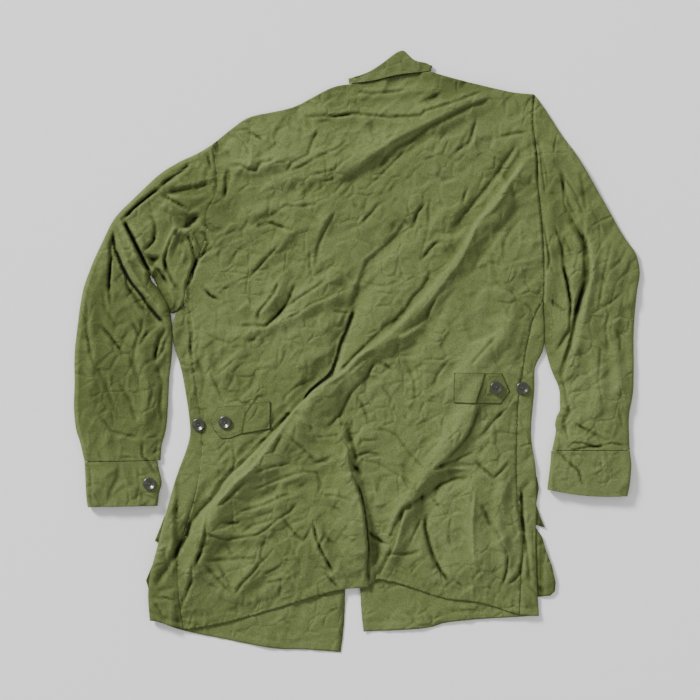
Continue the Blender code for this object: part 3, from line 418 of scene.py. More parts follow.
creases += marked(170, 100, 5.227, [
    # under the left shoulder
    (-3.6, 6, 5, 0.9, (700, 90), (870, 90), (960, 75)),
    (-3.0, 5, 5, 1, (380, 160), (430, 180), (495, 220)),
    (-2.4, 5, 6, 1, (500, 270), (590, 210)),
    (-3.4, 5, 6, 1, (780, 150), (745, 220), (720, 290), (640, 330), (600, 390)),
    (-3.2, 6, 6, 1, (940, 205), (870, 260), (780, 300), (700, 345), (610, 385)),
    (-2.8, 7, 6, 0.9, (760, 125), (830, 110), (880, 130)),
    (-2.4, 6, 6, 1, (900, 150), (850, 170)),
    (-5.0, 8, 6, 0.7, (310, 345), (370, 345), (420, 370), (450, 370), (480, 330), (520, 325), (560, 300)),
    (-4.4, 6, 8, 0.7, (310, 350), (295, 420), (290, 500), (280, 520)),
    (-3.6, 6, 6, 0.8, (245, 390), (245, 450), (230, 500)),
    (-3.0, 6, 6, 1, (960, 285), (900, 330), (860, 370), (800, 385), (720, 400)),
    (-3.0, 6, 6, 0.9, (850, 375), (850, 420), (790, 430), (790, 490)),
    (-4.0, 14, 12, 0.3, (770, 440), (720, 480), (690, 540)),
    (-3.2, 6, 6, 0.9, (510, 610), (560, 590), (600, 555), (690, 560), (780, 540)),
    (-2.8, 5, 5, 1, (570, 510), (570, 560), (590, 590)),
    (-4.0, 8, 7, 0.8, (870, 580), (830, 640), (800, 700), (770, 780), (760, 880)),
    (-2.6, 6, 7, 1, (560, 770), (500, 830), (430, 920)),
    (-3.0, 8, 4, 0.7, (440, 680), (530, 645), (640, 685), (660, 640)),
    (-4.4, 7, 6, 0.8, (575, 940), (545, 1010), (500, 1070), (465, 1110), (460, 1170)),
    (-4.2, 7, 6, 0.8, (365, 1180), (440, 1175), (500, 1185), (560, 1130), (620, 1050), (660, 950)),
    (-2.8, 7, 6, 1, (830, 920), (760, 980), (680, 1030), (580, 1100)),
    (-2.8, 5, 6, 1, (180, 990), (220, 1030), (270, 1050)),
    (-2.4, 5, 5, 1, (240, 990), (330, 980)),
    (-4.4, 6, 6, 0.7, (90, 940), (130, 880), (150, 830), (160, 820), (240, 760)),
    (-2.8, 5, 5, 1, (200, 290), (215, 370)),
    (-2.8, 5, 5, 1, (230, 265), (240, 310), (220, 320)),
    (-2.4, 5, 5, 1, (320, 180), (380, 220), (420, 290)),
    (-2.4, 5, 6, 1, (450, 570), (390, 610)),
    (-2.6, 5, 5, 1, (520, 490), (520, 570), (500, 620)),
    (-2.4, 6, 6, 1, (330, 700), (380, 680), (420, 620)),
    (-2.4, 6, 6, 1, (260, 720), (330, 690), (370, 660)),
    (-2.2, 6, 6, 1, (1100, 520), (1060, 580), (1000, 650), (940, 680)),
    (-2.0, 5, 5, 1, (1190, 500), (1160, 550)),
    (-2.0, 6, 6, 1, (700, 770), (660, 760), (620, 820)),
    (-2.2, 5, 5, 1, (100, 1110), (140, 1150), (120, 1190)),
    (-2.2, 6, 6, 1, (960, 540), (980, 590)),
    (-2.0, 6, 6, 1, (640, 120), (560, 160), (540, 230)),
])
creases += marked(70, 130, 4.75, [
    # left sleeve: the strip behind, the slots, the turned fold at the elbow, the forearm
    (-9.0, 4, 5, 0.2, (430, 275), (370, 320), (310, 370), (255, 425)),
    (4.0, 8, 14, 0.4, (700, 60), (600, 110), (450, 200), (380, 260), (290, 340), (240, 395)),
    (-10.5, 5, 5, 0.2, (255, 430), (285, 490), (320, 560), (350, 620), (390, 690), (430, 750), (470, 810)),
    (5.0, 6, 18, 0.3, (235, 415), (270, 480), (310, 570), (340, 640), (390, 720), (430, 800), (470, 880)),
    (-4.4, 7, 7, 0.7, (380, 400), (405, 440), (410, 480), (400, 530), (360, 565), (345, 600)),
    (5.0, 7, 7, 0.5, (450, 600), (470, 540), (500, 480), (540, 470), (575, 500), (595, 560), (600, 600)),
    (-5.5, 6, 6, 0.6, (530, 495), (565, 505), (585, 560), (595, 620), (580, 700), (550, 750)),
    (-9.0, 8, 8, 0.2, (355, 600), (400, 615), (440, 600)),
    (-8.0, 7, 7, 0.2, (390, 640), (440, 690), (470, 745)),
    (-3.8, 7, 6, 0.8, (440, 310), (500, 340), (570, 380), (620, 350), (660, 320), (690, 290)),
    (2.8, 7, 7, 0.8, (440, 300), (520, 270), (610, 250), (700, 210)),
    (-4.6, 14, 12, 0.3, (610, 400), (565, 450), (590, 470)),
    (-3.2, 6, 6, 0.9, (640, 430), (690, 470), (740, 480)),
    (-3.8, 6, 6, 0.8, (600, 470), (640, 500), (660, 540), (640, 580), (600, 640)),
    (-4.6, 5, 6, 0.6, (210, 480), (195, 560), (195, 650), (190, 760), (200, 850)),
    (-4.8, 6, 6, 0.6, (215, 560), (250, 650), (290, 730), (350, 790), (400, 860), (450, 920)),
    (-3.2, 7, 7, 0.8, (160, 760), (170, 850), (220, 930), (290, 900)),
    (-3.6, 6, 6, 0.8, (290, 900), (330, 960), (310, 1040), (300, 1100), (330, 1190)),
    (-2.8, 6, 6, 0.9, (150, 930), (200, 990), (240, 1040), (280, 950)),
    (-2.8, 6, 6, 0.9, (90, 830), (85, 950), (100, 1080), (130, 1130)),
    (-3.4, 6, 6, 0.9, (120, 1100), (170, 1200), (220, 1330)),
    (-2.8, 6, 6, 1, (140, 1250), (120, 1350)),
    (-3.4, 7, 7, 0.8, (230, 1190), (290, 1290), (320, 1400)),
    (-3.2, 6, 6, 0.9, (330, 1000), (380, 960), (420, 920)),
    (-4.4, 6, 6, 0.8, (440, 950), (410, 1020), (410, 1090), (440, 1050), (460, 980)),
    (-3.8, 6, 6, 0.8, (410, 1110), (440, 1200), (430, 1300), (440, 1400)),
    (-3.2, 6, 6, 0.9, (400, 1200), (380, 1320)),
    (-2.6, 5, 5, 1, (460, 1100), (450, 1250), (460, 1350)),
    (-2.8, 6, 6, 1, (160, 1360), (200, 1430), (280, 1450), (340, 1460)),
    (-2.2, 6, 6, 1, (130, 1340), (180, 1400), (160, 1470)),
    (-3.2, 4, 4, 0.9, (355, 1465), (350, 1540)),
    (-2.2, 4, 4, 1, (355, 1462), (430, 1455)),
    (-2.8, 5, 5, 1, (390, 1555), (420, 1500)),
    (-3.2, 6, 6, 0.8, (560, 830), (580, 960), (570, 1090)),
    (-2.8, 5, 5, 1, (630, 750), (670, 790), (720, 810)),
    (-2.4, 5, 5, 1, (620, 980), (600, 1060), (620, 1120)),
    (-3.2, 5, 5, 1, (660, 1130), (700, 1220), (730, 1290)),
])
creases += marked(120, 60, 7.467, [
    # the arch in the sleeve's underarm, its dark side and the slot behind the sleeve
    (-6.5, 4.5, 4.5, 0.4, (610, 1150), (520, 1235), (445, 1262), (400, 1310), (362, 1400), (335, 1490),
     (345, 1600)),
    (-4.0, 6, 5, 0.6, (455, 1400), (480, 1345), (525, 1335), (548, 1400), (572, 1480), (580, 1560)),
    (3.0, 9, 9, 0.3, (430, 1460), (450, 1400), (490, 1420), (470, 1520)),
    (-4.0, 5, 5, 0.6, (600, 1200), (640, 1235), (700, 1285), (760, 1285)),
    (-7.0, 4, 5, 0.3, (290, 965), (330, 920), (400, 870), (470, 820), (540, 755)),
    (-3.6, 4, 4, 0.8, (655, 690), (668, 760), (690, 840)),
    (-3.6, 6, 5, 0.7, (815, 800), (820, 870), (800, 960), (775, 1050)),
    (-3.4, 4, 4, 0.9, (940, 510), (1010, 560), (1090, 620)),
    (-5.0, 12, 5, 0.4, (320, 1000), (420, 985), (560, 960), (700, 930)),
    (-4.0, 4, 4, 0.8, (245, 1290), (262, 1340), (220, 1400), (180, 1440)),
])
creases += marked(380, 100, 7.127, [
    # right sleeve: the deep fold down its middle, the gathers at the armhole
    (-7.0, 3.5, 13, 0.3, (1340, 820), (1400, 920), (1465, 1015), (1475, 1150), (1478, 1280), (1440, 1400),
     (1395, 1560)),
    (3.0, 14, 4, 0.5, (1480, 1000), (1500, 1150), (1500, 1280), (1460, 1400), (1430, 1568)),
    (-4.4, 5, 5, 0.8, (1240, 900), (1290, 1050), (1310, 1180)),
    (-5.5, 4, 5, 0.7, (1300, 1170), (1330, 1300), (1365, 1480)),
    (-4.0, 5, 4, 0.8, (1160, 880), (1180, 1000), (1205, 1150), (1165, 1235)),
    (-3.6, 4, 5, 0.9, (1130, 370), (1150, 500), (1175, 680)),
    (-3.6, 5, 4, 0.9, (1280, 510), (1340, 600), (1400, 720), (1450, 850)),
    (-3.2, 5, 5, 0.8, (1300, 540), (1310, 760), (1390, 900)),
    (-2.2, 5, 4, 0.9, (690, 110), (660, 200), (650, 280), (610, 340), (550, 355)),
    (-1.8, 5, 6, 0.9, (860, 270), (960, 245), (1080, 225)),
    (-2.2, 6, 5, 0.8, (640, 600), (600, 680), (580, 760)),
    (-2.2, 5, 4, 0.9, (350, 740), (330, 960), (280, 1150)),
    (-2.2, 5, 5, 0.8, (550, 1000), (380, 1030), (330, 1090), (290, 1140)),
    (-2.6, 7, 6, 0.7, (230, 900), (270, 800), (330, 740)),
])
creases += marked(430, 350, 8.711, [
    # right cuff and forearm, the side below the tab
    (-4.0, 5, 5, 0.7, (1100, 860), (1180, 960), (1290, 1050), (1310, 1140), (1350, 1200)),
    (-3.0, 4, 5, 0.8, (1190, 820), (1240, 870), (1400, 835), (1560, 845)),
    (-2.4, 5, 5, 0.8, (1250, 640), (1380, 700), (1480, 750), (1568, 800)),
    (-2.6, 5, 5, 0.8, (1460, 900), (1490, 1080), (1470, 1180)),
    (-2.6, 4, 5, 0.8, (1240, 880), (1270, 950), (1300, 1010)),
    (-4.4, 5, 14, 0.4, (1230, 40), (1140, 210), (1160, 330), (1215, 540), (1160, 640), (1190, 780)),
    (-5.0, 7, 7, 0.4, (880, 1120), (790, 1220), (790, 1400), (812, 1568)),
    (-3.4, 8, 4, 0.7, (430, 500), (380, 600), (330, 730), (240, 840), (130, 950)),
    (-2.4, 5, 5, 0.8, (650, 510), (580, 590), (430, 750)),
    (-2.6, 5, 5, 0.8, (350, 950), (430, 1000), (560, 1110), (620, 1040), (720, 910)),
    (-3.0, 4, 5, 0.8, (370, 1030), (352, 1110), (375, 1200), (350, 1380)),
    (-2.4, 5, 5, 0.9, (240, 990), (400, 1000), (480, 1080)),
    (-2.4, 5, 5, 0.9, (380, 1300), (470, 1400), (540, 1560)),
    (-2.4, 4, 4, 0.9, (770, 580), (820, 690), (870, 750)),
])
creases += marked(220, 180, 7.127, [
    # middle of the back: the open slit at the head of the roll, the long creases left of it
    (-11.0, 9, 4, 0.3, (955, 910), (905, 1050), (858, 1170), (828, 1280), (800, 1350), (755, 1410),
     (705, 1460), (655, 1510), (600, 1600)),
    (-1.6, 5, 5, 0.8, (140, 1038), (260, 1048), (340, 1035), (420, 950), (480, 890), (640, 800), (740, 730),
     (860, 660)),
    (-2.8, 4, 4, 0.8, (430, 1005), (540, 960), (640, 890), (780, 830), (920, 770)),
    (-2.8, 3, 4, 0.9, (820, 940), (880, 950), (935, 945)),
    (-3.0, 4, 4, 0.8, (1230, 990), (1100, 1110), (1000, 1210), (900, 1310), (835, 1370)),
    (-2.8, 4, 4, 0.8, (440, 440), (360, 540), (280, 620), (180, 720)),
    (-2.6, 4, 4, 0.8, (640, 480), (640, 620), (660, 740)),
    (-2.6, 4, 5, 0.7, (240, 345), (330, 300), (420, 330), (500, 355)),
])
creases += marked(330, 480, 6.817, [
    # lower right: the crisp edge over the vent, the folds beside it and down the side
    (-6.0, 9, 2.5, 0.3, (165, 0), (210, 180), (228, 330), (245, 520), (262, 715)),
    (-3.6, 4, 4, 0.8, (225, 330), (300, 375), (390, 438)),
    (-4.6, 3, 12, 0.3, (500, 185), (475, 300), (435, 440), (350, 620), (275, 735)),
    (-4.0, 3, 9, 0.4, (645, 250), (660, 340), (700, 480), (745, 590), (815, 690)),
    (-3.0, 4, 4, 0.8, (1010, 130), (1090, 260), (1150, 380), (1210, 520), (1195, 650), (1160, 730)),
    (-4.4, 6, 8, 0.4, (1300, 200), (1315, 330), (1325, 480), (1290, 640), (1200, 720)),
    (-2.6, 4, 4, 0.9, (690, 105), (730, 150), (760, 215)),
    (-2.6, 4, 4, 0.9, (840, 680), (880, 710), (920, 740)),
    (-2.6, 4, 4, 0.9, (380, 820), (450, 840), (520, 910), (600, 940)),
    (-2.8, 4, 4, 0.9, (780, 860), (810, 885), (900, 890), (1000, 870), (1080, 850)),
])
creases += marked(140, 500, 7.127, [
    # lower left: beside the roll, and the gathers in the front's hem
    (-4.6, 8, 4, 0.5, (500, 60), (470, 150), (465, 240), (440, 330), (400, 450)),
    (-3.0, 4, 4, 0.8, (375, 420), (380, 560), (330, 680), (280, 800)),
    (-3.0, 4, 4, 0.9, (80, 680), (200, 690), (255, 712)),
    (-2.8, 4, 4, 0.9, (85, 690), (150, 780), (190, 880)),
    (-3.2, 4, 5, 0.8, (1235, 150), (1260, 280), (1320, 400), (1375, 510)),
    (-3.0, 4, 4, 0.8, (1310, 510), (1370, 570), (1430, 635)),
    (-3.6, 4, 4, 0.8, (1190, 740), (1190, 830), (1175, 960), (1150, 1050)),
    (-3.4, 4, 4, 0.8, (1370, 690), (1385, 770), (1310, 860), (1230, 960), (1160, 1000)),
    (-3.0, 4, 4, 0.9, (1385, 800), (1455, 785)),
    (-3.0, 4, 4, 0.9, (950, 940), (1010, 985), (1080, 970), (1190, 850)),
    (-2.6, 4, 4, 0.9, (1030, 740), (1040, 860), (1065, 930)),
    (-2.6, 4, 4, 0.9, (800, 820), (830, 900), (820, 980)),
])
creases += marked(60, 440, 8.711, [
    # left cuff: its slanted corner and the gathers above it
    (-3.6, 3, 6, 0.6, (725, 0), (722, 90), (735, 150), (780, 190), (820, 260), (865, 330)),
    (-2.4, 4, 4, 0.9, (520, 155), (600, 142), (690, 155)),
    (-2.4, 4, 4, 0.8, (335, 70), (370, 190)),
    (-2.2, 4, 4, 0.8, (210, 150), (270, 195)),
    (-3.0, 8, 8, 0.5, (520, 210), (510, 320), (450, 440), (430, 560)),
    (-2.6, 4, 4, 0.8, (680, 200), (690, 330), (690, 400), (665, 560)),
    (-2.2, 4, 4, 0.8, (690, 400), (720, 450), (710, 560)),
    (-3.4, 4, 4, 0.8, (870, 10), (850, 80), (810, 130)),
    (-2.6, 6, 12, 0.4, (250, 200), (265, 350), (280, 560)),
])
creases += marked(60, 180, 8.711, [
    # the turned fold over the elbow, the hollow behind it and the gathers of the underarm
    (-8.5, 5, 3.5, 0.4, (466, 465), (474, 600), (540, 750), (605, 870), (700, 1000), (760, 1090), (840, 1190),
     (905, 1250)),
    (-5.0, 10, 5, 0.4, (585, 930), (650, 1010), (710, 1110), (810, 1165)),
    (-5.0, 4, 5, 0.7, (905, 1250), (915, 1310), (875, 1400), (840, 1500), (820, 1590)),
    (-4.5, 5, 5, 0.7, (560, 740), (585, 900), (620, 980), (655, 1000)),
    (3.0, 6, 10, 0.5, (500, 480), (560, 640), (640, 800), (740, 960), (850, 1100), (925, 1210)),
    (-9.5, 5, 5, 0.2, (575, 385), (625, 470), (665, 560), (725, 680), (750, 760)),
    (-12.0, 11, 11, 0.0, (750, 705), (800, 725), (860, 725)),
    (-8.0, 5, 5, 0.3, (760, 770), (830, 860), (880, 930)),
    (-4.5, 20, 9, 0.1, (930, 110), (1100, 120), (1330, 100)),
    (-4.0, 6, 5, 0.7, (890, 130), (990, 190), (1110, 250)),
    (-5.0, 15, 12, 0.2, (1070, 370), (1150, 340), (1225, 285)),
    (-5.0, 5, 5, 0.6, (925, 690), (940, 800), (985, 890), (1050, 970)),
    (-4.0, 4, 4, 0.8, (850, 820), (900, 850), (860, 880)),
    (-4.5, 5, 5, 0.7, (455, 640), (442, 760), (430, 900), (432, 970)),
    (-4.0, 5, 4, 0.8, (240, 1050), (235, 1180), (230, 1320), (290, 1560)),
    (-4.0, 5, 4, 0.8, (355, 1270), (440, 1350), (520, 1460), (560, 1560)),
    (-4.0, 6, 5, 0.7, (725, 1190), (715, 1290), (700, 1360), (640, 1260)),
    (-4.0, 6, 5, 0.7, (790, 1290), (740, 1370), (690, 1460)),
    (-4.4, 4, 4, 0.9, (1250, 930), (1310, 1000), (1400, 1050)),
    (-4.0, 4, 5, 0.8, (1210, 680), (1160, 800), (1110, 880)),
])
creases += marked(130, 470, 6.272, [
    # lower left of the back, and the front's hem below it
    (-5.2, 6, 12, 0.4, (380, 300), (360, 400), (310, 470), (280, 550), (210, 650), (150, 740)),
    (4.0, 7, 6, 0.5, (500, 260), (470, 330), (460, 420), (450, 480), (420, 540)),
    (-4.4, 8, 5, 0.6, (465, 420), (450, 500), (410, 600)),
    (-3.4, 8, 8, 0.7, (385, 620), (385, 700), (340, 800), (310, 880)),
    (-4.0, 6, 6, 0.9, (470, 395), (540, 410), (600, 430), (720, 415), (800, 400), (850, 370), (920, 310),
     (1000, 260), (1060, 190)),
    (-3.0, 6, 6, 1, (700, 395), (770, 340), (850, 320), (930, 290)),
    (-3.0, 5, 5, 1, (590, 325), (650, 325), (680, 330), (710, 310)),
    (-2.8, 6, 6, 1, (1180, 150), (1280, 155), (1350, 170), (1420, 200)),
    (-3.0, 6, 6, 1, (1050, 110), (1120, 70)),
    (-3.2, 6, 6, 0.9, (960, 290), (1000, 350), (1050, 410), (1090, 440), (1130, 370), (1150, 320)),
    (-4.2, 7, 6, 0.8, (1150, 320), (1165, 400), (1200, 500), (1250, 590), (1280, 650)),
    (-2.6, 6, 6, 1, (1210, 350), (1250, 440), (1300, 460)),
    (-2.8, 6, 6, 1, (1370, 470), (1440, 400)),
    (-2.8, 6, 6, 1, (860, 400), (830, 480), (820, 540), (850, 580), (870, 570)),
    (-3.2, 6, 6, 1, (830, 650), (890, 630), (960, 590)),
    (-4.6, 7, 7, 0.8, (830, 565), (770, 640), (700, 710), (655, 785)),
    (-3.2, 6, 6, 0.9, (460, 570), (520, 640), (600, 730), (650, 780)),
    (-2.6, 6, 6, 1, (560, 590), (620, 700), (650, 780)),
    (-2.6, 7, 6, 1, (460, 560), (600, 560), (700, 550), (820, 545)),
    (-3.2, 5, 5, 1, (1230, 640), (1270, 700), (1320, 745)),
    (-3.2, 6, 6, 0.9, (150, 800), (230, 795), (290, 815)),
    (-2.8, 6, 6, 1, (150, 820), (190, 880), (220, 960)),
    (-2.6, 6, 6, 1, (140, 760), (220, 740), (310, 720)),
    (-2.0, 5, 5, 1, (950, 650), (945, 740), (930, 830)),
    (-2.4, 5, 5, 1, (1060, 520), (1070, 620), (1050, 700)),
    (-2.4, 5, 5, 1, (1240, 240), (1300, 235), (1340, 280)),
    (-2.2, 6, 6, 1, (590, 440), (640, 520), (660, 560)),
    (-2.2, 6, 6, 1, (460, 680), (520, 720), (580, 745)),
    (2.4, 6, 6, 0.8, (980, 840), (975, 930), (990, 990)),
    (3.0, 6, 7, 0.8, (1110, 870), (1090, 950), (1030, 1030)),
    (3.2, 7, 6, 0.7, (1250, 780), (1285, 850), (1280, 890), (1340, 880)),
    (2.6, 6, 6, 0.9, (1290, 900), (1200, 960), (1130, 1010)),
    (2.8, 6, 6, 0.9, (900, 1020), (950, 1050), (1000, 1060), (1090, 1050), (1060, 1130)),
    (2.2, 6, 6, 0.9, (760, 900), (790, 960)),
    (2.2, 6, 6, 0.9, (540, 1000), (620, 1020)),
])
creases += marked(520, 90, 3.77, [
    # right sleeve and its cuff
    (-3.8, 7, 6, 0.7, (150, 310), (170, 400), (210, 500), (245, 580)),
    (4.4, 26, 5, 0.4, (240, 480), (250, 600), (252, 720), (228, 800), (208, 900), (184, 1000), (160, 1070)),
    (-4.0, 5, 9, 0.4, (238, 750), (212, 830), (190, 950), (160, 1040)),
    (-4.4, 5, 6, 0.7, (160, 650), (180, 730), (190, 810), (185, 855)),
    (-2.8, 6, 6, 0.9, (90, 800), (110, 790), (150, 820), (185, 850)),
    (-4.4, 8, 6, 0.6, (190, 800), (185, 900), (150, 960), (128, 985)),
    (-2.8, 7, 6, 0.9, (340, 570), (310, 700), (290, 830)),
    (-3.4, 6, 6, 0.8, (350, 890), (375, 940), (375, 1000)),
    (-2.4, 6, 6, 1, (280, 830), (340, 800), (390, 760)),
    (-2.6, 5, 5, 1, (95, 390), (150, 388)),
    (-2.8, 6, 6, 0.9, (120, 520), (160, 560), (200, 640)),
    (-2.6, 6, 6, 0.9, (90, 690), (110, 660), (130, 700)),
    (-2.8, 6, 6, 0.8, (150, 1110), (140, 1200), (130, 1260), (170, 1310)),
    (-3.2, 5, 5, 0.8, (165, 1230), (180, 1330)),
    (-3.4, 4, 5, 0.8, (180, 1330), (230, 1330), (280, 1345), (340, 1330), (400, 1340)),
    (-2.8, 6, 6, 0.9, (200, 1250), (260, 1290), (330, 1330)),
    (-2.6, 6, 6, 0.9, (190, 1400), (220, 1440), (240, 1480)),
    (-2.6, 6, 6, 0.9, (290, 1380), (280, 1420), (330, 1390)),
    (-2.2, 6, 6, 1, (290, 1420), (290, 1480)),
    (-2.2, 6, 6, 1, (190, 1050), (240, 1040)),
    (-2.2, 7, 6, 1, (300, 960), (290, 1100), (310, 1200)),
    (-2.2, 6, 6, 1, (400, 590), (380, 640), (330, 680), (310, 740)),
    (-2.2, 6, 6, 1, (420, 620), (400, 680), (350, 740)),
    (-2.8, 6, 6, 0.9, (60, 180), (100, 330), (100, 380)),
    (-2.4, 6, 6, 1, (220, 300), (240, 400), (245, 480)),
    (-2.2, 6, 6, 1, (330, 830), (320, 900), (330, 1000)),
    (-2.0, 6, 6, 1, (170, 160), (200, 260), (250, 330)),
    (-2.2, 6, 6, 1, (385, 1100), (370, 1200), (390, 1290)),
])

drapeRest = {"edge": 6.0, "loft": 7.0, "reach": 75.0, "lowest": 5.8, "coarse": 6.0,
             "tubeEdge": 2.0, "tubeLoft": 0.7, "tubeReach": 45.0, "rimShare": 0.25, "rimReach": 30.0}
# where a place counts as sleeve: the spans of the armholes, and below or beyond them the sides
armholes = {"left": (70, 307), "right": (77, 385), "pit": 70, "far": 330, "sides": (-275, 281.5)}


def restHeights():
    # worked out on a coarse grid, then spread over the fine one
    coarse = drapeRest["coarse"]
    xs = np.arange(gridX[0, 0] - coarse, gridX[0, -1] + 2 * coarse, coarse)
    ys = np.arange(gridY[0, 0] - coarse, gridY[-1, 0] + 2 * coarse, coarse)
    x, y = np.meshgrid(xs, ys)
    inside = np.full(x.shape, 1e9)
    for name in ("sideLeft", "sideRight", "topLeft", "neck", "topRight", "hemLeft", "hemRight"):
        inside = np.minimum(inside, np.abs(measurePath(lines[name], x, y)[0]))
    sleeve = np.full(x.shape, 1e9)
    for rings in (ringsLeft, ringsRight):
        table = np.array(rings)
        for end in (table[:, 0:2], table[:, 2:4]):
            sleeve = np.minimum(sleeve, np.abs(measurePath(end, x, y)[0]))
    leftHole = xAt(lines["holeLeft"], np.clip(y, *armholes["left"]))
    rightHole = xAt(lines["holeRight"], np.clip(y, *armholes["right"]))
    upper = (y > armholes["pit"]) | (np.abs(x) > armholes["far"])
    beyond = np.where(x < 0, x < leftHole, x > rightHole)
    onSleeve = np.where(upper, beyond, (x < armholes["sides"][0]) | (x > armholes["sides"][1]))
    body = drapeRest["edge"] + drapeRest["loft"] * ease(inside / drapeRest["reach"])
    tube = (drapeRest["edge"] + drapeRest["tubeEdge"]
            + drapeRest["loft"] * drapeRest["tubeLoft"] * ease(sleeve / drapeRest["tubeReach"]))
    rest = np.where(onSleeve, tube, body)
    margin = np.minimum(1.0, drapeRest["rimShare"] + inside / drapeRest["rimReach"])

    def spread(values):
        u, v = (gridX - xs[0]) / coarse, (gridY - ys[0]) / coarse
        i, j = u.astype(int), v.astype(int)
        u, v = u - i, v - j
        return ((values[j, i] * (1 - u) + values[j, i + 1] * u) * (1 - v)
                + (values[j + 1, i] * (1 - u) + values[j + 1, i + 1] * u) * v)

    return spread(rest), spread(margin), spread(onSleeve.astype(float))


restGrid, marginGrid, sleeveGrid = restHeights()
foldGrid = np.zeros(gridX.shape)
for path, height, left, right in largeFolds:
    addFold(foldGrid, path, height, left, right)
drapeGrid = np.maximum(drapeRest["lowest"], restGrid + foldGrid * marginGrid)
print("large folds laid")

# crumple: tilted facets, drawn out along the main folds; lift is their rise as a share of tilt and size
crumple = {
    "coarse": {"cell": 44.0, "stretch": 1.5, "tilt": 0.046, "edge": 2.4, "angle": 50.0},
    "fine": {"cell": 20.0, "stretch": 1.3, "tilt": 0.050, "edge": 1.2, "angle": 38.0},
    "lift": 0.22,
}


def facetGrid(cell, stretch, tilt, edge, angle):
    # every cell is a slightly tilted plane; neighbours meet in a crisp but continuous crease
    turn = math.radians(angle)
    u = (gridX * math.cos(turn) + gridY * math.sin(turn)) / stretch
    v = -gridX * math.sin(turn) + gridY * math.cos(turn)
    i = np.floor(u / cell).astype(int)
    j = np.floor(v / cell).astype(int)
    i0, j0 = i.min() - 2, j.min() - 2
    shape = (j.max() - j0 + 4, i.max() - i0 + 4)
    px = chance.uniform(0.1, 0.9, shape)
    py = chance.uniform(0.1, 0.9, shape)
    gx = chance.normal(0.0, tilt, shape)
    gy = chance.normal(0.0, tilt, shape)
    lift = chance.normal(0.0, tilt * cell * crumple["lift"], shape)
    total = np.zeros(gridX.shape)
    weight = np.zeros(gridX.shape)
    near = np.full(gridX.shape, 1e9)
    for dj in (-1, 0, 1):
        for di in (-1, 0, 1):
            a, b = j + dj - j0, i + di - i0
            near = np.minimum(near, np.hypot(u - (i + di + px[a, b]) * cell, v - (j + dj + py[a, b]) * cell))
    for dj in (-1, 0, 1):
        for di in (-1, 0, 1):
            a, b = j + dj - j0, i + di - i0
            x, y = u - (i + di + px[a, b]) * cell, v - (j + dj + py[a, b]) * cell
            w = np.exp(-(np.hypot(x, y) - near) / edge)
            total += w * (gx[a, b] * x + gy[a, b] * y + lift[a, b])
            weight += w
    return total / weight


creaseGrid = facetGrid(**crumple["coarse"]) + facetGrid(**crumple["fine"])

# short creases strewn over the cloth, following the way it is pulled in each region
strewn = {"count": 3000, "length": (10.0, 58.0), "width": (2.8, 6.5), "height": (0.4, 1.7), "spread": 36.0,
          "across": (-430, 430), "up": (-450, 450), "anyWay": 0.18, "hollow": 0.36, "short": 1.8,
          "bend": 0.12, "skew": (0.65, 1.35), "fade": 0.45, "blend": 20.0}
# the pull: x, y and its angle in degrees
flows = [(-160, 300, 35), (0, 300, 30), (160, 330, 30), (-180, 200, 40), (-60, 200, 55), (120, 200, 52),
         (240, 200, 75), (-200, 60, 40), (-90, 60, 38), (40, 60, 50), (180, 40, 60), (-225, -40, 95),
         (-120, -60, 30), (60, -80, 55), (200, -60, 70), (-190, -200, 45), (-90, -210, 15), (0, -240, 100),
         (110, -240, 75), (210, -240, 95), (-230, -340, 80), (-120, -330, 50), (-30, -330, 115),
         (120, -340, 60), (-340, 180, 150), (-250, 240, 20), (-400, 60, 100), (-340, 20, 120),
         (-340, -100, 105), (330, 280, 130), (310, 120, 100), (380, 120, 110), (360, -40, 105),
         (350, -180, 95), (-350, -200, 80)]


def strewCreases(values):
    places = np.array([(x, y) for x, y, _ in flows], dtype=float)
    angles = np.radians([2 * a for _, _, a in flows])
    for _ in range(strewn["count"]):
        x = chance.uniform(*strewn["across"])
        y = chance.uniform(*strewn["up"])
        nearness = 1.0 / (np.hypot(places[:, 0] - x, places[:, 1] - y) + strewn["blend"]) ** 2
        flow = 0.5 * math.atan2((nearness * np.sin(angles)).sum(), (nearness * np.cos(angles)).sum())
        turn = flow + math.radians(chance.normal(0.0, strewn["spread"]))
        if chance.uniform() < strewn["anyWay"]:
            turn = chance.uniform(0.0, math.pi)
        size = chance.uniform() ** strewn["short"]
        length = mix(*strewn["length"], size)
        width = mix(*strewn["width"], size * chance.uniform(0.6, 1.0))
        height = mix(*strewn["height"], size * chance.uniform(0.5, 1.0))
        if chance.uniform() < strewn["hollow"]:
            height = -height
        bend = chance.normal(0.0, strewn["bend"]) * length
        dx, dy = math.cos(turn) * length / 2, math.sin(turn) * length / 2
        path = [(x - dx, y - dy), (x - dy * bend / length, y + dx * bend / length), (x + dx, y + dy)]
        skew = chance.uniform(*strewn["skew"])
        addFold(values, path, height, width * skew, width / skew, 1.0, length * strewn["fade"], 0.0)


# the placed creases are drawn in a little, the high ones less
drawnIn = {"width": 0.74, "highWidth": 0.9, "high": 5.0, "leastHeight": 0.6, "fade": 14.0, "least": 0.15}

strewCreases(creaseGrid)
for path, height, left, right, sharp in creases:
    narrow = drawnIn["width"] if abs(height) < drawnIn["high"] else drawnIn["highWidth"]
    height *= mix(drawnIn["leastHeight"], 1.0, narrow)
    addFold(creaseGrid, path, height, left * narrow, right * narrow, sharp, drawnIn["fade"], drawnIn["least"])
print("creases laid")

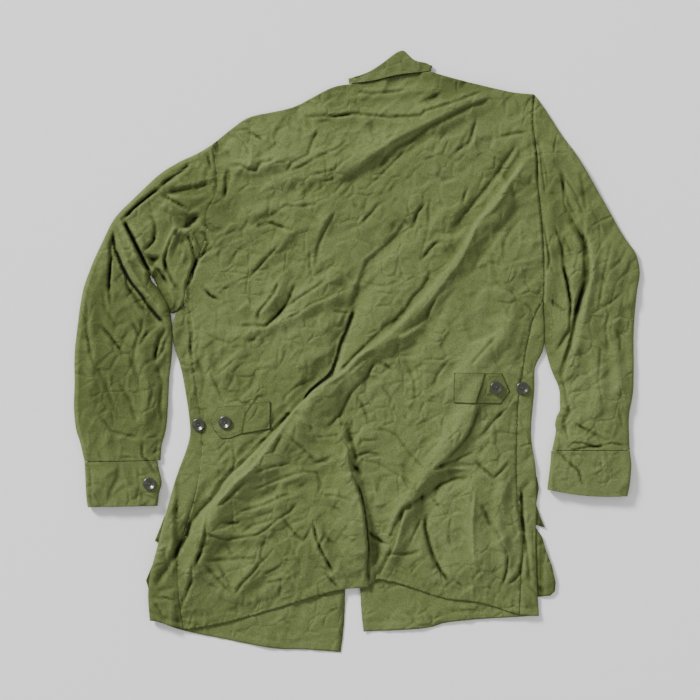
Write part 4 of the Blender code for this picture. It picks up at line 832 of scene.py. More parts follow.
# quiet places: tabs and buttons lie flatter
buttons = {
    "tab_button_left": (-197, -106, "tab", 35), "tab_button_right": (208, -54, "tab", -20),
    "spare_button_left": (-237, -110, "cloth", 10), "spare_button_right": (248, -55, "cloth", 60),
    "cuff_button_left": (-310, -198, "cuff", 20)}
tabs = {
    "waist_tab_left": [(-129, -75), (-144, -76), (-174, -81), (-207, -83), (-219, -103), (-214, -118),
                       (-202, -131), (-189, -130), (-170, -123), (-146, -119), (-129, -116)],
    "waist_tab_right": [(145, -32), (217, -33), (229, -60), (215, -79), (145, -77)],
}
# how much of the creasing stays at a button and at a tab, how far out, and over what width it changes
quiet = {"button": 0.15, "buttonReach": 9.0, "buttonBlend": 14.0, "tab": 0.35, "tabReach": (40.0, 20.0),
         "tabBlend": 12.0}
calm = np.ones(gridX.shape)
for x, y, seat, turn in buttons.values():
    away = np.hypot(gridX - x, gridY - y) - quiet["buttonReach"]
    calm = np.minimum(calm, mix(quiet["button"], 1.0, ease(away / quiet["buttonBlend"])))
for corners in tabs.values():
    middleX, middleY = np.mean(corners, axis=0)
    away = np.hypot(np.maximum(np.abs(gridX - middleX) - quiet["tabReach"][0], 0),
                    np.maximum(np.abs(gridY - middleY) - quiet["tabReach"][1], 0))
    calm = np.minimum(calm, mix(quiet["tab"], 1.0, ease(away / quiet["tabBlend"])))
creaseGrid *= calm

# the hems' stitch lines, moved up from the edges of the back and of the fronts
hemStitch = {name: lines[name] + (0, rise) for name, rise in
             (("hemLeft", 17), ("hemRight", 17), ("frontHemLeft", 15), ("frontHemRight", 15))}
# stitched lines pull the cloth in and pucker it: path, groove, pucker
seamLines = [
    (lines["holeLeft"], 0.4, 0.7), (lines["holeRight"], 2.4, 0.7),
    (lines["seamLeft"], 0.4, 0.6), (lines["seamRight"], 0.4, 0.6),
    (hemStitch["hemLeft"], 0.5, 0.45), (hemStitch["hemRight"], 0.5, 0.45),
    (hemStitch["frontHemLeft"], 1.4, 0.9), (hemStitch["frontHemRight"], 1.4, 0.9),
]
puckering = {"reach": 14, "beat": 0.62, "sway": 1.7, "swayBeat": 0.13, "swell": 0.21, "swellStart": 2.0,
             "width": 7.0, "groove": 1.9}
for path, groove, pucker in seamLines:
    area = windowOf(path, puckering["reach"])
    away, run, length = measurePath(path, gridX[area], gridY[area])
    wave = np.sin(run * puckering["beat"] + puckering["sway"] * np.sin(run * puckering["swayBeat"]))
    wave = wave * np.sin(run * puckering["swell"] + puckering["swellStart"])
    near = np.abs(away)
    creaseGrid[area] += (pucker * wave * np.exp(-(near / puckering["width"]) ** 2)
                         - groove * np.exp(-(near / puckering["groove"]) ** 2))

# no hollow goes lower than this, on the body and on a sleeve
hollowLimit = {"body": 4.6, "sleeve": 2.8}
topGrid = np.maximum(drapeGrid + creaseGrid, mix(hollowLimit["body"], hollowLimit["sleeve"], sleeveGrid))


def blur(values, times):
    # weights of 4, 2 and 1 sixteenths
    for _ in range(times):
        values = np.pad(values, 1, mode="edge")
        beside = values[:-2, 1:-1] + values[2:, 1:-1] + values[1:-1, :-2] + values[1:-1, 2:]
        values = (values[1:-1, 1:-1] * 4 + beside * 2 + values[:-2, :-2] + values[:-2, 2:]
                  + values[2:, :-2] + values[2:, 2:]) / 16
    return values


def lowest(values, times):
    # every place takes the least value of itself and its four neighbours
    for _ in range(times):
        across = np.pad(values, 1, mode="edge")
        values = np.minimum.reduce([across[1:-1, 1:-1], across[:-2, 1:-1], across[2:, 1:-1],
                                    across[1:-1, :-2], across[1:-1, 2:]])
    return values


# how far a place stands above what lies round it, turned into colour: ridges painted paler (painted light,
# with some wear), hollows painted darker (painted shade)
paintedLightAndWearRange = {"near": 14, "nearScale": 1.7, "deepen": 0.7, "broad": 60, "broadScale": 2.6, "broadStart": 1.0,
              "darkest": -2.6, "palest": 1.0, "lightPatchFrom": 1.6, "none": 9.0}
wanted = drapeGrid + creaseGrid
standing = (wanted - blur(wanted, paintedLightAndWearRange["near"])) / paintedLightAndWearRange["nearScale"]
standing = np.where(standing < 0, mix(standing, lowest(standing, 1), paintedLightAndWearRange["deepen"]), standing)
pits = (wanted - blur(wanted, paintedLightAndWearRange["broad"])) / paintedLightAndWearRange["broadScale"] + paintedLightAndWearRange["broadStart"]
paintedLightAndWearGrid = np.minimum(standing, np.where(pits < 0, pits, paintedLightAndWearRange["none"]))
paintedLightAndWearGrid = np.clip(paintedLightAndWearGrid, paintedLightAndWearRange["darkest"], paintedLightAndWearRange["palest"])

# broad patches of painted shade (below zero) and painted light (above zero), for light that falls off across
# the shirt: x, y, spread, amount
paintedLightPatches = [
    (-405, 92, 90, -1.1), (-393, -73, 95, -1.1), (-240, 215, 62, -1.2), (-288, 25, 40, -0.7),
    (147, 397, 50, -1.2), (-18, 392, 45, -0.8), (-300, -360, 55, -1.0), (-247, -286, 32, -0.8),
    (-247, -100, 38, -0.6), (350, 227, 70, -0.4), (-70, 10, 60, 0.4), (-142, -181, 45, 0.6),
    (200, -208, 140, 0.45), (200, 32, 80, 0.4), (395, -73, 85, 0.4),
]
paintedLightPatchGrid = np.zeros_like(paintedLightAndWearGrid)
for x, y, spread, amount in paintedLightPatches:
    paintedLightPatchGrid += amount * np.exp(-((gridX - x) ** 2 + (gridY - y) ** 2) / spread ** 2)
paintedLightAndWearGrid += paintedLightPatchGrid * np.clip(paintedLightAndWearGrid / paintedLightAndWearRange["lightPatchFrom"] + 1.0, 0.0, 1.0)

# the cloth's underside keeps below every hollow within this many steps of the grid
underSteps = 6
lowGrid = lowest(topGrid, underSteps)

# rolls that lean over: path, lean to the left of the path, width; the lean fades out at both ends
leaning = [
    ([(-20, -40), (-60, -72), (-100, -112), (-145, -158), (-205, -216)], -7.0, 24.0),
    ([(185, 194), (147, 138), (101, 79), (59, 35), (10, -5)], 2.5, 22.0),
    ([(-8, -180), (2, -226), (8, -262), (14, -330)], 5.0, 14.0),
    ([(346, 150), (335, 76), (326, 32), (315, -10)], -4.0, 12.0),
]
leanFade = 40.0
leanX = np.zeros(gridX.shape)
leanY = np.zeros(gridX.shape)
for path, reach, width in leaning:
    area = windowOf(path, width)
    away, run, length = measurePath(path, gridX[area], gridY[area])
    course = np.array(path[-1], float) - np.array(path[0], float)
    course = course / np.hypot(*course)
    amount = reach * ease(1.0 - np.abs(away) / width) * ease(np.minimum(run, length - run) / leanFade)
    leanX[area] += -course[1] * amount
    leanY[area] += course[0] * amount
print("height grids done")


def insideOf(outline, x, y):
    found = np.zeros(np.shape(x), dtype=bool)
    for (ax, ay), (bx, by) in zip(outline, np.roll(outline, -1, axis=0)):
        if ay == by:
            continue
        crossing = (ay > y) != (by > y)
        found ^= crossing & (x < (bx - ax) * (y - ay) / (by - ay) + ax)
    return found


def ontoOutline(outline, x, y):
    # nearest point of the outline and how far round it is
    best = np.full(x.shape, 1e9)
    bestX, bestY, bestRun = x.copy(), y.copy(), np.zeros(x.shape)
    walked = 0.0
    for a, b in zip(outline, np.roll(outline, -1, axis=0)):
        d = b - a
        size = math.hypot(*d)
        if size < 1e-6:
            continue
        t = np.clip(((x - a[0]) * d[0] + (y - a[1]) * d[1]) / size ** 2, 0, 1)
        px, py = a[0] + d[0] * t, a[1] + d[1] * t
        away = np.hypot(x - px, y - py)
        nearer = away < best
        best = np.where(nearer, away, best)
        bestX, bestY = np.where(nearer, px, bestX), np.where(nearer, py, bestY)
        bestRun = np.where(nearer, walked + size * t, bestRun)
        walked += size
    return bestX, bestY, bestRun


def newObject(name, data):
    made = bpy.data.objects.new(name, data)
    bpy.context.scene.collection.objects.link(made)
    return made


def newPiece(name, points, faces, material, replaced, paintedLightAndWear=None):
    # points in millimetres; the piece stands for its solid and rides with it
    mesh = bpy.data.meshes.new(name)
    mesh.from_pydata((np.asarray(points) * mm).tolist(), [], faces)
    mesh.validate()
    mesh.polygons.foreach_set("use_smooth", [True] * len(mesh.polygons))
    # a value per point that the cloth's colour follows: painted light and painted shade, with some wear on
    # ridges
    if paintedLightAndWear is not None:
        layer = mesh.attributes.new("paintedLightAndWear", "FLOAT", "POINT")
        layer.data.foreach_set("value", np.asarray(paintedLightAndWear, dtype=np.float32))
    mesh.materials.append(material)
    mesh.update()
    piece = newObject(name, mesh)
    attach(piece, "root")
    if replaced:
        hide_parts(*replaced)
    return piece


# where the grid of a panel starts beside its outline, and the turn in radians that makes a corner
panelGrid = {"offset": 0.53, "corner": 0.5}


def gridFace(outline, pitch):
    # quads inside the outline, the border vertices moved onto it and listed in order
    low, high = outline.min(axis=0) - pitch * panelGrid["offset"], outline.max(axis=0) + pitch
    x, y = np.meshgrid(np.arange(low[0], high[0], pitch), np.arange(low[1], high[1], pitch))
    keep = insideOf(outline, (x[:-1, :-1] + x[1:, 1:]) / 2, (y[:-1, :-1] + y[1:, 1:]) / 2)
    for _ in range(4):
        # quads that touch at one corner only are dropped
        a, b, c, d = keep[:-1, :-1], keep[:-1, 1:], keep[1:, 1:], keep[1:, :-1]
        keep[:-1, :-1] &= ~(a & c & ~b & ~d)
        keep[:-1, 1:] &= ~(b & d & ~a & ~c)
    index = -np.ones(x.shape, dtype=int)
    used = np.zeros(x.shape, dtype=int)
    for dj in (0, 1):
        for di in (0, 1):
            used[dj:dj + keep.shape[0], di:di + keep.shape[1]] += keep
    index[used > 0] = np.arange((used > 0).sum())
    onRim = (used < 4)[used > 0]
    px, py = x[used > 0], y[used > 0]
    run = np.zeros(len(px))
    px[onRim], py[onRim], run[onRim] = ontoOutline(outline, px[onRim], py[onRim])
    before, after = np.roll(outline, 1, axis=0), np.roll(outline, -1, axis=0)
    into, out = outline - before, after - outline
    bend = np.abs(np.arctan2(into[:, 0] * out[:, 1] - into[:, 1] * out[:, 0], (into * out).sum(axis=1)))
    rimIndex = np.nonzero(onRim)[0]
    for corner in outline[bend > panelGrid["corner"]]:
        k = rimIndex[np.argmin(np.hypot(px[rimIndex] - corner[0], py[rimIndex] - corner[1]))]
        px[k], py[k] = corner
    rows, columns = np.nonzero(keep)
    quads = np.stack([index[rows, columns], index[rows, columns + 1],
                      index[rows + 1, columns + 1], index[rows + 1, columns]], axis=1)
    sides = set(map(tuple, np.concatenate([quads[:, [k, (k + 1) % 4]] for k in range(4)]).tolist()))
    follow = {p: q for p, q in sides if (q, p) not in sides}
    loops = []
    while follow:
        loop = [next(iter(follow))]
        while loop[-1] in follow:
            loop.append(follow.pop(loop[-1]))
        loops.append(loop[:-1])
    return px, py, onRim, run, quads, max(loops, key=len)


def panelMesh(outline, pitch, top, bottom, under=None, leans=False):
    # two faces and the rim between them; the underside may be coarser
    outline = np.array(outline, dtype=float)
    px, py, onRim, run, quads, loop = gridFace(outline, pitch)
    qx, qy = px.copy(), py.copy()
    if leans:
        qx = qx + np.where(onRim, 0.0, sample(leanX, px, py))
        qy = qy + np.where(onRim, 0.0, sample(leanY, px, py))
    ux, uy, underRim, underRun, underQuads, underLoop = gridFace(outline, under or pitch)
    count = len(px)
    points = np.concatenate([np.stack([qx, qy, top(px, py)], axis=1),
                             np.stack([ux, uy, bottom(ux, uy, underRim)], axis=1)])
    faces = quads.tolist() + (underQuads[:, ::-1] + count).tolist()
    sides = []
    size = np.hypot(*(np.roll(outline, -1, axis=0) - outline).T).sum()
    for order, runs in ((loop, run), (underLoop, underRun)):
        here = runs[order]
        back = np.median(np.diff(here)) < 0
        here = size - here if back else here
        start = int(np.argmin(here))
        order = order[start:] + order[:start] + [order[start]]
        here = np.concatenate([np.roll(here, -start), [here[start] + size]])
        sides.append((order, here))
    (upper, upperRun), (lower, lowerRun) = sides
    i = j = 0
    while i < len(upper) - 1 or j < len(lower) - 1:
        if j == len(lower) - 1 or (i < len(upper) - 1 and upperRun[i + 1] <= lowerRun[j + 1]):
            faces.append([upper[i + 1], upper[i], lower[j] + count])
            i += 1
        else:
            faces.append([upper[i], lower[j] + count, lower[j + 1] + count])
            j += 1
    return points, faces, np.concatenate([sample(paintedLightAndWearGrid, px, py), np.zeros(len(ux))])


def topHeight(x, y):
    return sample(topGrid, x, y)


# the back laps over the sleeves and the side strips at its seams
lap = {"under": 1.5, "drop": 1.25, "reach": 8.0}
# the lower layer of a tube lies in shade: how dark at most, at what reach, and the share left at the floor
tubeShade = {"depth": -2.6, "reach": 4.0, "floor": 0.3}
# a rolled edge takes up at most this share of the width, and is at least this wide
rolled = {"share": 0.2, "least": 0.2}


def ringStations(a, b, bow, count, roll, outA=None, outB=None, skirt=0.0):
    # one end, the stations across the face, the other end, and the reach of the lower layer
    a, b = np.array(a, float), np.array(b, float)
    across = (b - a) / np.hypot(*(b - a))
    outA = -across if outA is None else outA
    outB = across if outB is None else outB
    roll = min(roll, np.hypot(*(b - a)) * rolled["share"])
    first, last = a - outA * roll, b - outB * roll
    share = np.linspace(0, 1, count + 1)[:, None]
    side = np.array([-across[1], across[0]])
    middle = first + (last - first) * share + side * (bow * 4 * share * (1 - share))
    return np.concatenate([[a], middle, [b], [[skirt, 0.0]]])


def endDirections(ends, others):
    found = []
    for k, here in enumerate(ends):
        run = ends[min(k + 1, len(ends) - 1)] - ends[max(k - 1, 0)]
        run = run / np.hypot(*run)
        out = np.array([-run[1], run[0]])
        found.append(-out if out @ (others[k] - here) > 0 else out)
    return found


def closedFaces(rings, count):
    # every ring has count points outside and as many inside; the tube is closed at both ends
    faces = []
    step = 2 * count
    last = (rings - 1) * step
    for k in range(rings - 1):
        for i in range(count):
            j = (i + 1) % count
            o = k * step
            faces.append([o + i, o + j, o + step + j, o + step + i])
            o += count
            faces.append([o + j, o + i, o + step + i, o + step + j])
    for i in range(count):
        j = (i + 1) % count
        faces.append([i, count + i, count + j, j])
        faces.append([last + j, last + count + j, last + count + i, last + i])
    return faces


def tubeMesh(plans, wall, arcs, lapped=False):
    # plans: for each ring its end, its stations and its other end, seen from above
    sections = []
    paintedLightAndWearParts = []
    for plan in plans:
        a, stations, b, skirt = plan[0], plan[1:-2], plan[-2], max(plan[-1, 0], 0.0)
        zTop = topHeight(stations[:, 0], stations[:, 1])
        if lapped:
            away = np.hypot(*(stations - plans[0][1:-2]).T)
            zTop = zTop - lap["drop"] * (1 - ease(away / lap["reach"]))
        paintedLightAndWear = sample(paintedLightAndWearGrid, stations[:, 0], stations[:, 1])
        for thin in (0.0, wall):
            lower = stations.copy()
            lower[-1] += (b - stations[-1]) / max(np.hypot(*(b - stations[-1])), 1e-6) * skirt
            points = [np.column_stack([lower, np.full(len(stations), thin)])]
            for edge, end, order, high in ((stations[-1], b, 1, zTop[-1]), (stations[0], a, -1, zTop[0])):
                half = high / 2
                angle = (np.arange(1, arcs + 1) / (arcs + 1) - 0.5) * math.pi * order
                reach = np.hypot(*(end - edge))
                out = (end - edge) / max(reach, 1e-6)
                wide = max(reach - thin, rolled["least"]) * np.cos(angle)
                if order > 0:
                    wide = wide + skirt * (1 - np.sin(angle)) / 2
                flat = edge + out * wide[:, None]
                points.append(np.column_stack([flat, half + (half - thin) * np.sin(angle)]))
                if order > 0:
                    points.append(np.column_stack([stations, zTop - thin])[::-1])
            sections.append(np.concatenate(points))
        shade = tubeShade["depth"] * min(skirt / tubeShade["reach"], 1.0)
        shade = shade * np.linspace(1.0, tubeShade["floor"], arcs)
        paintedLightAndWearParts += [np.concatenate([np.zeros(len(stations)), shade, paintedLightAndWear[::-1], np.zeros(arcs)])] * 2
    return np.concatenate(sections), closedFaces(len(plans), len(sections[0])), np.concatenate(paintedLightAndWearParts)


def outward(points, faces):
    # turn a closed mesh so that its faces look out
    work = bmesh.new()
    verts = [work.verts.new(p) for p in points]
    for face in faces:
        work.faces.new([verts[i] for i in face])
    bmesh.ops.recalc_face_normals(work, faces=work.faces)
    work.verts.index_update()
    turned = [[v.index for v in face.verts] for face in work.faces]
    work.free()
    return turned


# materials: noise, weave and bumps, set up by a few helpers
def feed(tree, node, feeds):
    # each socket takes a value or another node's output
    for label, value in feeds.items():
        if isinstance(value, bpy.types.NodeSocket):
            tree.links.new(value, node.inputs[label])
        else:
            node.inputs[label].default_value = value


def addNode(tree, kind, out=None, feeds=None, **settings):
    # the node's own settings come first, because some of them change its sockets
    node = tree.nodes.new("ShaderNode" + kind)
    for label, value in settings.items():
        setattr(node, label, value)
    feed(tree, node, feeds or {})
    return node.outputs if out is None else node.outputs[out]


def calculate(tree, operation, *values, clamp=False):
    return addNode(tree, "Math", 0, dict(enumerate(values)), operation=operation, use_clamp=clamp)


def newGroup(name, inputs, outputs):
    # inputs start as a colour or a number, or as None for a place
    group = bpy.data.node_groups.new(name, "ShaderNodeTree")
    kinds = {type(None): "NodeSocketVector", tuple: "NodeSocketColor", float: "NodeSocketFloat"}
    for label, value in inputs.items():
        socket = group.interface.new_socket(label, in_out="INPUT", socket_type=kinds[type(value)])
        if value is not None:
            socket.default_value = value
    for label, kind in outputs.items():
        group.interface.new_socket(label, in_out="OUTPUT", socket_type=kind)
    return group, group.nodes.new("NodeGroupInput").outputs, group.nodes.new("NodeGroupOutput")


def newMaterial(name):
    material = bpy.data.materials.new(name)
    material.use_nodes = True
    return material, material.node_tree, material.node_tree.nodes["Principled BSDF"]


def poplinWeave():
    # plain weave, threads over and under, with slubs
    group, given, result = newGroup("poplinWeave", {"Place": None, "Threads": 900.0, "Slub": 0.5},
                                    {"Height": "NodeSocketFloat"})
    wave = {"Vector": given["Place"], "Scale": given["Threads"], "Distortion": 0.6, "Detail": 1.0,
            "Detail Scale": 0.4}
    over, under = [addNode(group, "TexWave", "Fac", wave, wave_type="BANDS", bands_direction=axis,
                           wave_profile="SIN") for axis in ("X", "Y")]
    crossed = calculate(group, "MULTIPLY", over, under)
    streak = addNode(group, "Mapping", "Vector", {"Vector": given["Place"], "Scale": (40.0, 900.0, 40.0)})
    slub = addNode(group, "TexNoise", "Fac", {"Vector": streak, "Scale": 1.0, "Detail": 2.0})
    feed(group, result, {"Height": calculate(group, "MULTIPLY_ADD", slub, given["Slub"], crossed)})
    return group


def fineCrinkle():
    # thin broken crease lines, finer than the mesh
    group, given, result = newGroup("fineCrinkle", {"Place": None, "Size": 42.0, "Sharpness": 6.0},
                                    {"Height": "NodeSocketFloat"})
    place = given["Place"]
    wander = addNode(group, "TexNoise", "Color", {"Vector": place, "Scale": 16.0, "Detail": 1.0})
    drift = addNode(group, "VectorMath", "Vector", {0: wander, "Scale": 0.022}, operation="SCALE")
    moved = addNode(group, "VectorMath", "Vector", {0: place, 1: drift}, operation="ADD")
    cells = addNode(group, "TexVoronoi", "Distance", {"Vector": moved, "Scale": given["Size"]},
                    feature="DISTANCE_TO_EDGE")
    line = calculate(group, "MULTIPLY", cells, given["Sharpness"], clamp=True)
    broken = addNode(group, "TexNoise", "Fac", {"Vector": place, "Scale": 26.0, "Detail": 1.0})
    amount = addNode(group, "MapRange", "Result", {"Value": broken, "From Min": 0.42, "From Max": 0.60})
    shown = calculate(group, "MULTIPLY", line, amount)
    ridges = addNode(group, "TexNoise", "Fac", {"Vector": moved, "Scale": 55.0, "Detail": 3.0},
                     noise_type="RIDGED_MULTIFRACTAL")
    feed(group, result, {"Height": calculate(group, "MULTIPLY_ADD", ridges, 0.35, shown)})
    return group


def crumpledTone():
    # patchy fading; ridges and broad patches painted paler (painted light, with some wear on the ridges);
    # painted shade in hollows, nearly black painted shade in pits
    group, given, result = newGroup("crumpledTone", {
        "Place": None, "Dye": (0.1, 0.1, 0.05, 1.0), "FadedAndLit": (0.2, 0.2, 0.1, 1.0),
        "ShadeColour": (0.0, 0.0, 0.0, 1.0), "PaintedLightAndWear": 0.0, "LightAndWear": 0.4, "HollowShade": 0.5, "Patches": 0.3, "Grain": 0.3},
        {"Color": "NodeSocketColor", "Roughness": "NodeSocketFloat"})
    place, paintedLightAndWear = given["Place"], given["PaintedLightAndWear"]
    broad = addNode(group, "TexNoise", "Fac", {"Vector": place, "Scale": 9.0, "Detail": 5.0})
    fine = addNode(group, "TexNoise", "Fac", {"Vector": place, "Scale": 520.0, "Detail": 3.0,
                                              "Roughness": 0.75})
    patch = addNode(group, "MapRange", "Result", {"Value": broad, "From Min": 0.35, "From Max": 0.68})
    # painted light on ridges and broad patches, with some wear on the ridges: paler towards the pale colour
    litAndWorn = calculate(group, "MULTIPLY", paintedLightAndWear, given["LightAndWear"], clamp=True)
    pale = calculate(group, "ADD", calculate(group, "MULTIPLY", patch, given["Patches"]), litAndWorn, clamp=True)
    # painted shade: hollows mixed towards the darkest colour
    below = calculate(group, "MULTIPLY", paintedLightAndWear, -1.0)
    hollow = calculate(group, "MULTIPLY", below, given["HollowShade"], clamp=True)
    fadedAndLit = addNode(group, "Mix", "Result", {"Factor": pale, "A": given["Dye"], "B": given["FadedAndLit"]},
                    data_type="RGBA")
    shadedColour = addNode(group, "Mix", "Result", {"Factor": hollow, "A": fadedAndLit, "B": given["ShadeColour"]},
                   data_type="RGBA")
    spread = addNode(group, "MapRange", "Result", {"Value": fine, "From Min": 0.3, "From Max": 0.7,
                                                   "To Min": -1.0, "To Max": 1.0}, clamp=False)
    grain = calculate(group, "MULTIPLY_ADD", spread, given["Grain"], 1.0)
    # painted shade: the deepest places darkened nearly to black
    pit = addNode(group, "MapRange", "Result", {"Value": paintedLightAndWear, "From Min": paintedLightAndWearRange["darkest"],
                                                "From Max": -1.5, "To Min": 0.12, "To Max": 1.0})
    shade = addNode(group, "VectorMath", 0, {0: shadedColour, "Scale": calculate(group, "MULTIPLY", grain, pit)},
                    operation="SCALE")
    rough = addNode(group, "MapRange", "Result", {"Value": broad, "To Min": 0.78, "To Max": 0.94})
    feed(group, result, {"Color": shade, "Roughness": rough})
    return group


weaveGroup = poplinWeave()
crinkleGroup = fineCrinkle()
toneGroup = crumpledTone()


def clothMaterial(name, look):
    material, tree, shader = newMaterial(name)
    place = addNode(tree, "TexCoord", "Object")
    # the per-point values of painted light and shade, with some wear
    paintedLightAndWear = addNode(tree, "Attribute", "Fac", attribute_name="paintedLightAndWear")
    tone = addNode(tree, "Group", None, dict(look["tone"], Place=place, PaintedLightAndWear=paintedLightAndWear), node_tree=toneGroup)
    weave = addNode(tree, "Group", "Height", dict(look["weave"], Place=place), node_tree=weaveGroup)
    crinkle = addNode(tree, "Group", "Height", dict(look["crinkle"], Place=place), node_tree=crinkleGroup)
    creased = addNode(tree, "Bump", "Normal", dict(look["crinkleBump"], Height=crinkle))
    woven = addNode(tree, "Bump", "Normal", dict(look["weaveBump"], Height=weave, Normal=creased))
    feed(tree, shader, {"Base Color": tone["Color"], "Roughness": tone["Roughness"], "Normal": woven})
    feed(tree, shader, look["surface"])
    return material


# the darkest colour and its share paint shade into hollows and pits; the pale colour serves fading, and
# painted light with some wear on ridges and broad patches
clothLook = {
    "tone": {"Dye": (0.108, 0.136, 0.043, 1.0), "FadedAndLit": (0.158, 0.192, 0.075, 1.0),
             "ShadeColour": (0.024, 0.034, 0.002, 1.0), "LightAndWear": 0.38, "HollowShade": 0.46, "Grain": 0.32,
             "Patches": 0.35},
    "weave": {"Threads": 900.0, "Slub": 0.5},
    "crinkle": {"Size": 42.0},
    "crinkleBump": {"Strength": 1.1, "Distance": 0.0012},
    "weaveBump": {"Strength": 0.35, "Distance": 0.0002},
    "surface": {"Sheen Weight": 0.05, "Sheen Roughness": 0.5, "Sheen Tint": (0.75, 0.8, 0.6, 1.0),
                "Specular IOR Level": 0.15},
}
trimLook = dict(clothLook, tone=dict(clothLook["tone"], Dye=(0.104, 0.131, 0.042, 1.0), Patches=0.3))
poplin = clothMaterial("olivePoplin", clothLook)
trimPoplin = clothMaterial("doubledPoplin", trimLook)


def mottle(tree, noise, dark, light):
    # a noise and the two colours it runs between
    noise = addNode(tree, "TexNoise", "Fac", dict(noise, Vector=addNode(tree, "TexCoord", "Object")))
    return noise, addNode(tree, "Mix", "Result", {"Factor": noise, "A": dark, "B": light}, data_type="RGBA")


def threadMaterial():
    material, tree, shader = newMaterial("oliveThread")
    _, tint = mottle(tree, {"Scale": 700.0}, (0.085, 0.105, 0.035, 1), (0.135, 0.160, 0.060, 1))
    feed(tree, shader, {"Base Color": tint, "Roughness": 0.7})
    return material


def buttonMaterial():
    material, tree, shader = newMaterial("darkOlivePlastic")
    swirl, tint = mottle(tree, {"Scale": 130.0, "Detail": 3.0, "Distortion": 1.2},
                         (0.009, 0.013, 0.004, 1), (0.022, 0.028, 0.010, 1))
    rough = addNode(tree, "MapRange", "Result", {"Value": swirl, "To Min": 0.24, "To Max": 0.40})
    feed(tree, shader, {"Base Color": tint, "Roughness": rough, "Coat Weight": 1.0, "Coat IOR": 1.5,
                        "Coat Roughness": 0.24})
    return material


thread = threadMaterial()
buttonPlastic = buttonMaterial()
print("materials made")

# the back panel
backPanel = {"pitch": 2.12, "under": 9.0, "thick": 0.9}


def walk(*names):
    # outline from named edges in order; a minus sign runs one backwards
    corners = []
    for name in names:
        line = lines[name.strip("-")]
        for point in (line[::-1] if name.startswith("-") else line):
            if not corners or np.hypot(*(point - corners[-1])) > 0.5:
                corners.append(point)
    if np.hypot(*(corners[0] - corners[-1])) < 0.5:
        corners.pop()
    return np.array(corners)


backOutline = walk("topLeft", "neck", "topRight", "holeRight", "seamRight", "-hemRight", "-hemLeft",
                   "-seamLeft", "-holeLeft")


def backUnder(x, y, onRim):
    return np.where(onRim, topHeight(x, y), sample(lowGrid, x, y)) - backPanel["thick"]


points, faces, paintedLightAndWear = panelMesh(backOutline, backPanel["pitch"], topHeight, backUnder, backPanel["under"],
                                 leans=True)
back = newPiece("backPanel", points, faces, poplin, ["back"], paintedLightAndWear)
print("back", len(faces))

# fronts: on the floor, rolled round the side fold up to the side seam
frontPanel = {"thick": 0.9, "wrapRows": 150, "floorColumns": 62, "stripColumns": 9, "arcs": 7,
              "upperRows": 40, "roll": 8.0, "rollShare": 0.55, "crowding": 0.8, "inset": 4.0,
              "neckline": 330.0, "under": {"Left": 66.0, "Right": 74.0}}
# the creases show only where a front looks out below the back's hem
frontShown = {"above": 14.0, "blend": 22.0, "side": 14.0, "sideShare": 0.2, "creasing": 0.9, "rise": 1.0,
              "darkAbove": 1.5}
# the fronts lie over the pockets: each pocket's left, right, low and high edge
pocketRise = {"boxes": ((-320, -108, -394, -208), (88, 305, -394, -160)), "flat": 4.0, "blend": 24.0,
              "rise": 1.8}


def pocketCover(x, y):
    rise = np.zeros(np.shape(x))
    for x0, x1, y0, y1 in pocketRise["boxes"]:
        away = np.hypot(np.maximum(np.maximum(x0 - x, x - x1), 0), np.maximum(np.maximum(y0 - y, y - y1), 0))
        rise = np.maximum(rise, 1.0 - ease((away - pocketRise["flat"]) / pocketRise["blend"]))
    return pocketRise["rise"] * rise


def frontRise(x, y):
    return np.maximum(sample(creaseGrid, x, y) * frontShown["creasing"] + frontShown["rise"], 0.0)


def frontWrap(edge, sign, under):
    # rows from the hem up to the armhole: floor, side fold, then the strip under the back's seam
    thick, arcs = frontPanel["thick"], frontPanel["arcs"]
    hem, centre, side, seam = edge["frontHem"], edge["centre"], edge["side"], edge["seam"]
    part = np.linspace(0, 1, frontPanel["floorColumns"] + 1) ** frontPanel["crowding"]
    along = np.linspace(0, 1, frontPanel["stripColumns"] + 1)
    angle = (np.arange(1, arcs + 1) / (arcs + 1) - 0.5) * math.pi
    rows = []
    for share in np.arange(frontPanel["wrapRows"] + 1) / frontPanel["wrapRows"]:
        sideY, seamY = mix(side[-1, 1], under, share), mix(seam[-1, 1], under, share)
        sideX, seamX = float(xAt(side, sideY)), float(xAt(seam, seamY))
        roll = min(frontPanel["roll"], abs(sideX - seamX) * frontPanel["rollShare"])
        floorX = sideX - sign * roll
        x = mix(float(xAt(centre, mix(centre[0, 1], under, share))), floorX, part)
        y = mix(yAt(hem, mix(centre[0, 0], side[-1, 0], part)), under, share)
        cover = pocketCover(x, y)
        shown = (ease((yAt(edge["hem"], x) + frontShown["above"] - y) / frontShown["blend"])
                 * ease((side[-1, 0] - x) * sign / frontShown["side"] + frontShown["sideShare"]))
        lift = shown * frontRise(x, y)
        low, high = float(cover[-1]), float(topHeight(floorX, sideY))
        half = (high - low) / 2
        stripX, stripY = mix(floorX, seamX - sign * lap["under"], along), mix(sideY, seamY, along)
        toSeam = np.hypot(stripX - stripX[-1], stripY - stripY[-1])
        drop = lap["drop"] * (1 - ease(toSeam / lap["reach"]))
        for thin in (0.0, thick):
            floor = np.column_stack([x, y, cover + lift + thin])
            arc = np.column_stack([floorX + sign * (roll - thin) * np.cos(angle), np.full(arcs, sideY),
                                   low + half + (half - thin) * np.sin(angle)])
            strip = np.column_stack([stripX, stripY, topHeight(stripX, stripY) - drop - thin])
            rows.append(np.concatenate([floor, arc, strip]))
    return rows


